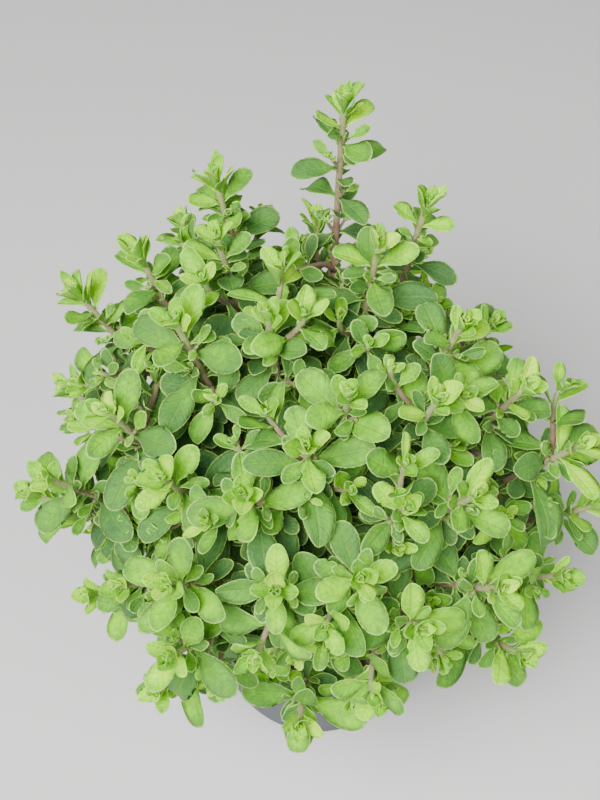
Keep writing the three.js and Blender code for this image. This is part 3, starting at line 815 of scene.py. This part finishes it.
# Taken from the start are the pot and its soil up to the soil's top, and the rim above it: a
# cell wider than they are, and half a cell higher
box_low, box_high = np.array(cad_low), np.array(cad_high)
proud = ROOM_MARGIN * (box_high - box_low)
room = Room(np.maximum(box_low - proud, (-1, -1, 1 * MM)), box_high + proud)
cell_middles = room.low + (np.stack(np.indices(room.taken.shape), -1) + 0.5) * ROOM_CELL
from_axis = np.hypot(cell_middles[..., 0], cell_middles[..., 1])
cell_heights = cell_middles[..., 2]
pot_radius = np.where(cell_heights > LIP_FOOT - ROOM_CELL, POT_TOP_RADIUS, wall_radius(cell_heights))
in_pot = from_axis < pot_radius + ROOM_CELL
in_soil = in_pot & (cell_heights < SOIL_TOP + ROOM_CELL / 2)
in_rim = (in_pot & (from_axis > POT_TOP_RADIUS - RIM_BREADTH)
          & (cell_heights < POT_HEIGHT + ROOM_CELL / 2))
room.taken |= in_soil | in_rim


class Plant:
    """One leafy stem while it grows: its stems, each a path with its foot's and tip's radius
    and age, its leaves, and its nodes, each a leaf's pair, place, stem axis and way out."""

    def __init__(self, name, path):
        self.name = name
        self.path = path
        self.stems = []
        self.leaves = []
        self.nodes = []


STEM_ROOT_RADIUS = 1.55 * MM
STEM_TIP_RADIUS = 1.0 * MM
PAIR_AGES = np.array([0.14, 0.26, 0.4, 0.54, 0.68, 0.8, 0.9])
OLDEST = 0.95
SURFACE_REACH = 0.92
DEEPEST = 0.45


def depth_age_and_shade(place):
    """Age added to leaves deep in the ball: partly their older form, and partly painted shade, since it
    darkens their colour. It is 0 at the ball's surface and 0.45 well inside.
    """
    reach = np.linalg.norm((place - CANOPY_CENTRE) / CANOPY_RADII)
    return float(np.clip((SURFACE_REACH - reach) * 0.95, 0, DEEPEST))


# A bud's pairs from the outermost in, each its leaf length and angle from the stem
BUD_LEAVES = ((9.8, 31), (7.6, 18), (5.4, 6))
BUD_FOOT = 3.8
BUD_STEP = 0.9
BUD_HALF_WIDTH = 0.36
HALF_OPEN = 0.9
YOUNG_ROLL = 0.3
# A crown's pairs, each its distance below the tip, leaf length and angle. Only stems at the
# back have one, those whose tip lies further back than CROWNED_FROM.
CROWN_LEAVES = ((4.8, 12, 22), (6.5, 11, 34))
CROWN_HALF_WIDTH = 0.21
CROWN_AGE = 0.12
CROWN_POINT = 0.75
CROWNED_FROM = 25 * MM


def turned(axis, across, turn):
    """A way square to an axis, turned about it: across cos a + (axis x across) sin a."""
    return across * math.cos(turn) + np.cross(axis, across) * math.sin(turn)


def bud(plant, tip, axis, across, scale, age=0.0):
    """A bud of half-open young leaves in crossed pairs, each pair smaller and steeper."""
    along = np.cross(axis, across)
    for k, (length, angle) in enumerate(BUD_LEAVES):
        for outward in ((across, -across), (along, -along))[k % 2]:
            leaf = new_leaf(
                tip - axis * (BUD_FOOT - BUD_STEP * k) * MM * scale, axis, outward,
                length * MM * scale * grow.uniform(0.82, 1.15), math.radians(angle + grow.uniform(-9, 9)),
                math.radians(grow.uniform(-14, 16)), grow.uniform(-YOUNG_ROLL, YOUNG_ROLL),
                BUD_HALF_WIDTH, age + 0.05 * (2 - k), HALF_OPEN + 0.15 * k)
            plant.leaves.append(leaf)


def crown(plant, tip, axis, across, scale):
    """Narrow upright leaves about the bud, a pair each way slantwise between the older pairs."""
    along = np.cross(axis, across)
    for (below, length, angle), slant in zip(CROWN_LEAVES, (1, -1)):
        level = unit(across + slant * along)
        for outward in (level, -level):
            leaf = new_leaf(
                tip + (outward * 0.5 - axis * below) * MM, axis, outward,
                length * MM * scale * grow.uniform(0.85, 1.1), math.radians(angle + grow.uniform(-8, 8)),
                math.radians(grow.uniform(-6, 20)), grow.uniform(-YOUNG_ROLL, YOUNG_ROLL),
                CROWN_HALF_WIDTH, CROWN_AGE, HALF_OPEN)
            leaf.point = CROWN_POINT
            plant.leaves.append(leaf)


LEAF_ARCH = (-4, 26)
OLD_LEAF_DROOP = 35
ROLL_SPREAD = 0.22
WIDTH_SPREAD = (0.85, 1.15)
LEAF_FOLD = (0.45, 1.1)
STALK_OFF = 0.8


def try_leaf(plant, place, axis, outward, length, angle, age, tries):
    """Grows a leaf the first way that is clear, and says whether it did. Each way is a share of
    its length, a lift and a swing about the stem in degrees."""
    arch = math.radians(grow.uniform(*LEAF_ARCH) + OLD_LEAF_DROOP * max(0, age - 0.4))
    roll = grow.normal(0, ROLL_SPREAD)
    half_width = LEAF_HALF_WIDTH * grow.uniform(*WIDTH_SPREAD)
    fold = grow.uniform(*LEAF_FOLD)
    light = light_on(place)
    for scale, lift, swing in tries:
        turned_out = turned(axis, outward, math.radians(swing))
        tilt = math.radians(angle + lift)
        leaf = new_leaf(place + turned_out * STALK_OFF * MM, axis, turned_out, length * scale, tilt,
                        arch, roll + roll_to_light(axis, turned_out, tilt, light), half_width, age, fold)
        samples = leaf.samples()
        if not room.clashes(samples):
            room.take(samples)
            plant.leaves.append(leaf)
            return True
    return False


LIFTS_AND_SWINGS = ((0, 0), (-14, 0), (12, 0), (0, 18), (0, -18), (-16, 16), (-16, -16), (22, 0),
                    (-28, 0), (14, 26), (14, -26))
WAYS = [(scale, *turn) for scale in (1, 0.8, 0.62) for turn in LIFTS_AND_SWINGS]
WAYS_IN_AXILS = WAYS[:6]
WAYS_BETWEEN = WAYS[:22]

plants = []
for name in sorted(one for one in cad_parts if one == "tall_stem" or one.startswith("leafy_stem")):
    centres, packed = read_stem(name)
    plant = Plant(name, Path(centres))
    plant.stems.append((plant.path, STEM_ROOT_RADIUS, STEM_TIP_RADIUS, 1.0, 0.1))
    room.take(plant.path.points)
    youngest_out = None
    for ring, sections, tip in packed:
        pair = (len(centres) - 4 - ring) // 2
        age = min(OLDEST, PAIR_AGES[pair] + depth_age_and_shade(sections[2].mean(0)))
        leaf = packed_leaf(sections, tip, age)
        plant.leaves.append(leaf)
        room.take(leaf.samples())
        place = (centres[ring] + centres[ring + 1]) / 2
        axis = unit(centres[ring + 1] - centres[ring])
        outward = sections[0].mean(0) - place
        outward = unit(outward - outward.dot(axis) * axis)
        plant.nodes.append((pair, place, axis, outward))
        if pair == 0:
            youngest_out = outward
    plant.lowest_pair = max(pair for pair, *_ in plant.nodes)
    tip, axis = plant.path.at(plant.path.length)
    if youngest_out is None:
        youngest_out = np.cross(axis, (0, 0, 1.0))
    across = unit(np.cross(axis, youngest_out))
    bud(plant, tip, axis, across, grow.uniform(0.95, 1.2))
    if tip[1] > CROWNED_FROM:
        crown(plant, tip, axis, across, 0.85 if name == "tall_stem" else grow.uniform(0.95, 1.15))
    plants.append(plant)


# Side shoots: thin stems that branch from the main ones and fill the ball between them.
# First come those that show plainly, each a bearing, a rise and a reach, then more where the
# ball is emptiest. Each of their pairs is its distance below the tip, leaf length and angle.
SHOWN_SIDES = (
    (256, 82, 0.96), (296, 51, 0.97), (323, 55, 0.99), (352, 34, 1.0), (259, 15, 1.0), (272, 22, 0.96),
    (154, 83, 0.98), (250, 62, 0.93), (166, 67, 0.95), (281, 1, 0.98))
SIDE_SHOOTS = 175
SIDE_LOWEST = -38
SIDE_TRIES = 60
SIDE_REACH = (0.7, 0.95)
SIDE_SCALES = (0.6, 1.02)
SHOWN_SCALE = 1.1
SIDE_PAIRS = ((0.6, 9, 32), (4.2, 12.5, 50), (10, 16, 66), (18, 17.5, 80), (27, 17, 90))
ASLANT = (0.3, 0.2, 1.0)


def bearing_of(bearing, rise):
    """Unit direction from a compass bearing and a rise, both in degrees."""
    bearing, rise = np.radians(bearing), np.radians(rise)
    return np.stack([np.cos(rise) * np.cos(bearing), np.cos(rise) * np.sin(bearing), np.sin(rise)], -1)


def grow_shoot(plant, path, scale, age_shift, turn):
    """Leaf pairs and a bud along a new stem, the youngest first."""
    tip, axis = path.at(path.length)
    reference = unit(np.cross(axis, ASLANT))
    for k, (below, length, angle) in enumerate(SIDE_PAIRS):
        below = below * MM * scale + 2 * MM
        if below > path.length - 4 * MM:
            break
        place, axis = path.at(path.length - below)
        across = unit(reference - reference.dot(axis) * axis)
        outward = turned(axis, across, turn + k * math.pi / 2)
        for one in (outward, -outward):
            age = min(OLDEST, PAIR_AGES[k] + age_shift)
            try_leaf(plant, place, axis, one, length * MM * scale * grow.uniform(0.88, 1.1),
                     angle + grow.uniform(-9, 9), age, WAYS)
    tip, axis = path.at(path.length)
    across = unit(reference - reference.dot(axis) * axis)
    outward = turned(axis, across, turn + math.pi / 2)
    bud(plant, tip, axis, outward, 0.66 * scale * grow.uniform(0.8, 1.2), 0.03 + 0.5 * age_shift)
    plant.stems.append((path, 1.0 * MM, 0.75 * MM, 0.55, 0.05))
    room.take(path.points)


host_points = np.concatenate([plant.path.points for plant in plants])
host_ways = np.concatenate([plant.path.tangents for plant in plants])
host_of = np.concatenate([np.full(len(plant.path.points), k) for k, plant in enumerate(plants)])
host_left = np.concatenate([plant.path.length - plant.path.run for plant in plants])
BRANCH_SPAN = (22 * MM, 85 * MM)
BRANCH_BELOW_TIP = 16 * MM


def branch_to(tip, end):
    """The stem and the curve by which a side shoot best reaches a tip: from a near point of a
    main stem that already heads that way, the clearest of a few."""
    reach = tip - host_points
    span = np.linalg.norm(reach, axis=1)
    along = (reach * host_ways).sum(1) / span
    cost = span + 30 * MM * (1 - along) + 15 * MM * (along < 0.3)
    fit = (span > BRANCH_SPAN[0]) & (span < BRANCH_SPAN[1]) & (host_points[:, 2] > SOIL_TOP)
    fit = fit & (host_left > BRANCH_BELOW_TIP)
    order = np.argsort(np.where(fit, cost, 1))
    best = None
    for pick in order[:60:10]:
        start = unit(host_ways[pick] * 0.8 + reach[pick] / span[pick] * 0.7)
        path = Path(arching(host_points[pick], start, tip, end))
        clashes = room.clashes(path.points[4:])
        if best is None or clashes < best[0]:
            best = (clashes, plants[host_of[pick]], path)
    return best[1], best[2]


# How far a side shoot's tip turns up, and how far it leans to the front at the back of the ball
UPTURN = 0.8
NOD = 0.35
SHADED_BEARING = 40
SHADED_SPREAD = 65
SHADED_DIP = 0.17


def shade_dip(way):
    """How much flatter the ball is at its shaded back right: a cosine bump about its bearing."""
    aside = (math.degrees(math.atan2(way[1], way[0])) - SHADED_BEARING + 180) % 360 - 180
    return SHADED_DIP * max(0, math.cos(math.pi / 2 * min(1, abs(aside) / SHADED_SPREAD)))


taken_ways = [unit((plant.path.points[-1] - CANOPY_CENTRE) / CANOPY_RADII) for plant in plants]
for k in range(len(SHOWN_SIDES) + SIDE_SHOOTS):
    if k < len(SHOWN_SIDES):
        bearing, rise, reach = SHOWN_SIDES[k]
        way = bearing_of(bearing, rise)
        scale = SHOWN_SCALE
    else:
        rises = np.degrees(np.arcsin(grow.uniform(math.sin(math.radians(SIDE_LOWEST)), 1, SIDE_TRIES)))
        ways = bearing_of(grow.uniform(0, 360, SIDE_TRIES), rises)
        nearest = np.max(ways @ np.array(taken_ways).T, axis=1)
        way = ways[np.argmin(nearest)]
        reach = grow.uniform(*SIDE_REACH) - shade_dip(way)
        scale = grow.uniform(*SIDE_SCALES)
    taken_ways.append(way)
    tip = CANOPY_CENTRE + way * CANOPY_RADII * reach
    if room.clashes(tip[None]) and room.clashes((tip + way * 3 * MM)[None]):
        tip = tip - way * 5 * MM
    end = unit(way + np.array([0, -NOD * max(0, way[1]), UPTURN]))
    plant, path = branch_to(tip, end)
    grow_shoot(plant, path, scale, depth_age_and_shade(tip) * 0.8, grow.uniform(0, math.pi))


# Axil shoots: the short young shoots that sprout where a leaf joins a main stem. Each has two
# small leaves, less those that would clash, and now and then a bud.
AXIL_SHARE = 0.75
AXIL_BUD_SHARE = 0.35
AXIL_REACH = (2.5, 7)
AXIL_LEAF = (5, 9.5)
AXIL_ANGLE = (30, 65)


def axil_shoot(plant, place, axis, outward, age):
    """A short shoot in a leaf's axil: two young leaves, and now and then a small bud."""
    way = unit(axis * 0.8 + outward * 0.6)
    tip = place + way * grow.uniform(*AXIL_REACH) * MM
    level = unit(np.cross(way, outward))
    grown = [try_leaf(plant, tip, way, one, grow.uniform(*AXIL_LEAF) * MM, grow.uniform(*AXIL_ANGLE),
                      age, WAYS_IN_AXILS) for one in (level, -level)]
    if grow.uniform() < AXIL_BUD_SHARE:
        bud(plant, tip + way * MM, way, outward, 0.5, age - 0.15)
    if any(grown):
        path = Path(np.array([place, (place + tip) / 2, tip + way * MM]))
        plant.stems.append((path, 0.7 * MM, 0.5 * MM, 0.4, 0.2))


for plant in plants:
    for pair, place, axis, outward in plant.nodes:
        if pair > 1 and grow.uniform() < AXIL_SHARE:
            axil_shoot(plant, place, axis, outward, grow.uniform(0.2, 0.4) + depth_age_and_shade(place))


# Smaller leaves between the large pairs, so that no long stretch of a main stem is bare. Each
# place is its distance below the tip and its leaf length, and has two crossed pairs, or one on
# the tall stem.
BETWEEN_PAIRS = ((10.5, 10), (18, 12), (28, 13), (40.5, 13), (54, 12))
BETWEEN_DROP = 2.5 * MM

for plant in plants:
    for below, length in BETWEEN_PAIRS[:plant.lowest_pair]:
        place, axis = plant.path.at(plant.path.length - below * MM - BETWEEN_DROP)
        across = unit(np.cross(axis, plant.nodes[0][3]))
        outward = turned(axis, across, math.pi / 4 + grow.uniform(-0.3, 0.3))
        level = np.cross(axis, outward)
        for one in (outward, -outward, level, -level)[:2 if plant.name == "tall_stem" else 4]:
            try_leaf(plant, place, axis, one, length * MM * grow.uniform(0.7, 1.1), grow.uniform(48, 85),
                     0.3 + 0.009 * below + depth_age_and_shade(place), WAYS_BETWEEN)


# Old leaves: the dull ones in the shade inside the ball, in pairs down each main stem, with a
# smaller pair crossed over each. Each kind is its lift up the stem, length, angle and age.
OLD_LEAVES = ((0, (12, 18), (70, 100), (0.7, 0.95)), (2.5, (8, 13), (45, 80), (0.6, 0.85)))
OLD_LEAF_STEP = (5, 7.5)
LOWEST_OLD_LEAF = 16 * MM

for plant in plants:
    run = plant.path.length - (30 + 14 * (plant.lowest_pair - 3)) * MM
    quarter = grow.uniform(0, math.pi)
    while run > LOWEST_OLD_LEAF:
        place, axis = plant.path.at(run)
        outward = turned(axis, unit(np.cross(axis, ASLANT)), quarter)
        for lift, lengths, angles, ages in OLD_LEAVES:
            for one in (outward, -outward):
                try_leaf(plant, place + axis * lift * MM, axis, one, grow.uniform(*lengths) * MM,
                         grow.uniform(*angles), grow.uniform(*ages), WAYS)
            outward = np.cross(axis, outward)
        quarter += math.pi / 2
        run -= grow.uniform(*OLD_LEAF_STEP) * MM


# Stems: green to woody and downy, square with rounded corners. Each is a tube about its path,
# from the soil to its bud, or from a main stem for the side and axil shoots.
STEM_AROUND = 8
STEM_STEP = 3.2 * MM
STEM_SQUARENESS = 0.09


def stem_points(path, foot_radius, tip_radius, foot_age, tip_age):
    """A stem's tube: rounded-square rings about its path, from a closed foot to a closed tip."""
    count = max(4, int(path.length / STEM_STEP))
    runs = np.linspace(0, path.length, count)
    middle, heading = path.at(runs)
    fixed = unit(np.cross(path.points[-1] - path.points[0], (0.13, 0.21, 1.0)))
    first = unit(fixed - (heading @ fixed)[:, None] * heading)
    second = np.cross(heading, first)
    share = runs / path.length
    angle = np.arange(STEM_AROUND) * 2 * math.pi / STEM_AROUND
    corners = 1 + STEM_SQUARENESS * np.cos(4 * angle)
    radius = (foot_radius + (tip_radius - foot_radius) * share)[:, None] * corners
    rings = (middle[:, None] + first[:, None] * (radius * np.cos(angle))[..., None]
             + second[:, None] * (radius * np.sin(angle))[..., None])
    closed_tip = middle[-1:] + heading[-1:] * tip_radius * 0.5
    points = np.concatenate([middle[:1], rings.reshape(-1, 3), closed_tip])
    share = np.concatenate([[0], np.repeat(share, STEM_AROUND), [1]])
    kind = np.stack([foot_age + (tip_age - foot_age) * share, 0 * share, 0 * share], -1)
    return points, np.zeros_like(points), kind, tube_faces(count, STEM_AROUND)


# Hairs: the pale down on the upper part of every stem, thickest near its tip. Each is one slim
# closed spike with its foot at the stem's skin.
HAIR_LENGTH = 0.8 * MM
HAIR_FOOT = 0.06 * MM
HAIR_SINK = 0.94
HAIR_LEAN = -0.15
HAIR_SPREAD = 0.4
HAIRS_PER_MM = 5
HAIRY_STRETCH = 32 * MM


def hair_points(path, foot_radius, tip_radius):
    """Hairs on the upper part of a stem: each a slim spike from its three-cornered foot, on a
    circle of the stem's radius, outward and a little down to its point."""
    stretch = min(path.length, HAIRY_STRETCH)
    count = int(stretch * HAIRS_PER_MM / MM)
    run = path.length - stretch * grow.uniform(0, 1, count) ** 1.3
    middle, heading = path.at(run)
    out = grow.normal(0, 1, (count, 3))
    out = unit(out - (out * heading).sum(1, keepdims=True) * heading)
    level = np.cross(heading, out)
    radius = (foot_radius + (tip_radius - foot_radius) * run / path.length)[:, None]
    foot = middle + out * radius * HAIR_SINK
    way = unit(out + heading * grow.normal(HAIR_LEAN, HAIR_SPREAD, (count, 1))
               + level * grow.normal(0, HAIR_SPREAD, (count, 1)))
    corners = [foot + HAIR_FOOT * (level * math.cos(turn) + heading * math.sin(turn))
               for turn in (0, 2 * math.pi / 3, 4 * math.pi / 3)]
    tips = foot + way * HAIR_LENGTH * grow.uniform(0.6, 1.3, (count, 1))
    points = np.stack([*corners, tips], 1).reshape(-1, 3)
    starts = 4 * np.arange(count)[:, None, None]
    faces = (starts + np.array([(0, 1, 3), (1, 2, 3), (2, 0, 3), (0, 2, 1)])).reshape(-1, 3)
    return points, np.zeros_like(points), np.zeros_like(points), [faces]


# Leaf colours by age, from the bud to the old leaves inside, and those laid over them; a band of
# painted shading inside the rim and a woolly edge, each by the distance from the rim in millimetres
LEAF_COLOURS = (
    (0.0, (0.54, 0.86, 0.05)), (0.12, (0.38, 0.82, 0.002)), (0.28, (0.20, 0.57, 0.012)),
    (0.46, (0.10, 0.30, 0.034)), (0.7, (0.056, 0.17, 0.050)), (0.92, (0.036, 0.105, 0.042)))
FELT_AND_RIM_LIGHT_COLOUR = (0.36, 0.68, 0.06)
VEIN_COLOUR = (0.33, 0.58, 0.06)
UNDERSIDE_COLOUR = (0.20, 0.42, 0.09)
WOOL_COLOUR = (0.54, 0.90, 0.17)
RIM_SHADING_BAND = (2.8, 0.7)
WOOLLY_EDGE = (0.62, 0.1)
VEIN_COUNT = 7
STEM_COLOURS = (
    (0.0, (0.40, 0.56, 0.16)), (0.2, (0.31, 0.27, 0.13)), (0.36, (0.24, 0.125, 0.088)),
    (0.8, (0.13, 0.06, 0.04)), (1.0, (0.08, 0.035, 0.026)))


def felted_leaf():
    """Felted leaf: lime when young, mid green, then deep bluish green with age, and darker as painted
    shade deep in the ball and in a band inside the rim, where old leaves also get a painted lighter
    lime; a thin woolly margin, paler below, a faint midrib and side veins, and a soft down that
    catches light."""
    finish = Finish("felted_leaf")
    across, share, rim = finish.parts_of("leaf_place")
    age, tone, below = finish.parts_of("leaf_kind")
    down = finish.noise(2600, 2)
    mottle = finish.noise(620, 3, 0.6)
    cloud = finish.noise(150, 2)
    # Painted shading in a band inside the rim: added years make the leaf darker there.
    rim_shading = rim.step(*RIM_SHADING_BAND)
    years = age + tone * 0.15 + (share - 0.5) * 0.1 + rim_shading * 0.11 - 0.03
    years = (years + (cloud - 0.5) * 0.4 + (mottle - 0.5) * 0.3).clamped()
    colour = finish.node("ShaderNodeValToRGB", {"stops": LEAF_COLOURS}, {"Fac": years})
    felt = finish.noise(1500, 3, 0.7).step(0.5, 0.72)
    # Real felt flecks, and on old leaves a painted lighter lime in the band inside the rim.
    colour = finish.mix(felt * 0.16 + rim_shading * age * 0.12, colour, FELT_AND_RIM_LIGHT_COLOUR)
    vein = (share * VEIN_COUNT - abs(across) * 1.5).fraction() - 0.5
    vein = (abs(vein) * 2).step(0.75, 1) * rim.step(0.3, 1.2)
    midrib = abs(across).step(0.14, 0.02)
    lines = (vein * 0.35 + midrib * 0.6).clamped()
    colour = finish.mix(lines * 0.16, colour, VEIN_COLOUR)
    colour = finish.mix(below.step(0.4, 0.6) * 0.65, colour, UNDERSIDE_COLOUR)
    margin = (rim + (mottle - 0.5) * 0.3).step(*WOOLLY_EDGE) * (0.35 + age.step(0.05, 0.25) * 0.65)
    colour = finish.mix(margin * 0.72, colour, WOOL_COLOUR)
    height = down * 0.25 + mottle * 0.6 - lines * 0.8
    return finish.done(
        Base_Color=colour, Roughness=0.52 + margin * 0.2 + down * 0.1,
        Normal=finish.bump(height, 0.45 * MM), Specular_IOR_Level=0.3,
        Specular_Tint=(0.75, 1, 0.3, 1), Sheen_Weight=0.05, Sheen_Roughness=0.35,
        Sheen_Tint=(0.65, 1, 0.25, 1))


def downy_stem():
    """Downy stem: pinkish brown and woody at the foot, pinker then green towards the tip."""
    finish = Finish("downy_stem")
    years = finish.parts_of("leaf_kind")[0]
    down = finish.noise(1900, 3, 0.7)
    streak = finish.noise(300, 3)
    years = (years + (streak - 0.5) * 0.35).clamped()
    colour = finish.node("ShaderNodeValToRGB", {"stops": STEM_COLOURS}, {"Fac": years})
    colour = finish.mix(down.step(0.5, 0.75) * 0.3, colour, (0.45, 0.35, 0.26))
    return finish.done(Base_Color=colour, Roughness=0.8, Normal=finish.bump(down, 0.35 * MM),
                       Sheen_Weight=0.15, Sheen_Roughness=0.5, Sheen_Tint=(0.9, 0.9, 0.6, 1))


def pale_hair():
    """Pale hair: nearly white, a little yellower and duller here and there."""
    finish = Finish("pale_hair")
    colour = finish.mix(finish.noise(400), (0.56, 0.6, 0.38), (0.46, 0.46, 0.3))
    return finish.done(Base_Color=colour, Roughness=0.7)


leaf_finish = felted_leaf()
stem_finish = downy_stem()
hair_finish = pale_hair()

# Each leafy stem becomes one mesh of its stems, hairs and leaves. Every part carries its points,
# its place on the leaf, its age and kind, its faces and the number of its finish.
for plant in plants:
    parts = [(*stem_points(*stem), 1) for stem in plant.stems]
    parts += [(*hair_points(*stem[:3]), 2) for stem in plant.stems]
    sizes = np.array([leaf.length for leaf in plant.leaves])
    pattern_of = (sizes >= SMALL_LEAF_LENGTH).astype(int) + (sizes >= LARGE_LEAF_LENGTH)
    for k, pattern in enumerate((SMALL_LEAF, MIDDLE_LEAF, LARGE_LEAF)):
        leaves = [leaf for leaf, own in zip(plant.leaves, pattern_of) if own == k]
        points, place, kind = leaf_points(pattern, leaves)
        shift = np.arange(len(leaves))[:, None, None] * points.shape[1]
        faces = [(one[None] + shift).reshape(-1, one.shape[1]) for one in pattern.faces]
        parts.append((points.reshape(-1, 3), place.reshape(-1, 3), kind.reshape(-1, 3), faces, 0))
    starts = np.concatenate([[0], np.cumsum([len(part[0]) for part in parts])])
    face_sets = [faces + start for part, start in zip(parts, starts) for faces in part[3]]
    finishes = np.concatenate([np.full(len(faces), part[4]) for part in parts for faces in part[3]])
    mesh = make_mesh(plant.name, np.concatenate([part[0] for part in parts]), face_sets)
    for key, column in (("leaf_place", 1), ("leaf_kind", 2)):
        values = np.concatenate([part[column] for part in parts]).astype(np.float32)
        mesh.attributes.new(key, "FLOAT_VECTOR", "POINT").data.foreach_set("vector", values.ravel())
    mesh.polygons.foreach_set("material_index", finishes.astype(np.int32))
    add_piece(plant.name + "_grown", mesh, [leaf_finish, stem_finish, hair_finish],
              "marjoram_leaf", plant.name)


# Floor and light: a plain pale floor that the pot stands on, a wide soft light from above and
# in front, a weaker one from the right, and pale air all round
FLOOR_CORNERS = 3 * np.array([(-1, -1, 0), (1, -1, 0), (1, 1, 0), (-1, 1, 0)])
AIR_COLOUR = (0.95, 0.97, 0.96, 1)
AIR_STRENGTH = 0.36

floor_mesh = make_mesh("floor", FLOOR_CORNERS, [np.array([(0, 1, 2, 3)])])
floor = in_scene("floor", floor_mesh)
floor_finish = Finish("pale_floor")
floor_mesh.materials.append(floor_finish.done(Base_Color=(0.72, 0.72, 0.71, 1), Roughness=0.8))


def soft_light(name, place, aim, size, power):
    """A square soft light at a place, turned to its aim."""
    data = bpy.data.lights.new(name, "AREA")
    data.size = size
    data.energy = power
    light = in_scene(name, data)
    light.location = place
    way = np.array(aim, float) - np.array(place, float)
    light.rotation_mode = "QUATERNION"
    light.rotation_quaternion = Vector(way).to_track_quat("-Z", "Y")


soft_light("window", (-0.35, -0.6, 1.1), (0, 0, 0.15), 0.6, 31)
soft_light("fill", (0.9, -0.5, 0.7), (0, 0, 0.12), 1.0, 5)
world = bpy.data.worlds.new("air")
world.use_nodes = True
world.node_tree.nodes["Background"].inputs["Color"].default_value = AIR_COLOUR
world.node_tree.nodes["Background"].inputs["Strength"].default_value = AIR_STRENGTH
bpy.context.scene.world = world
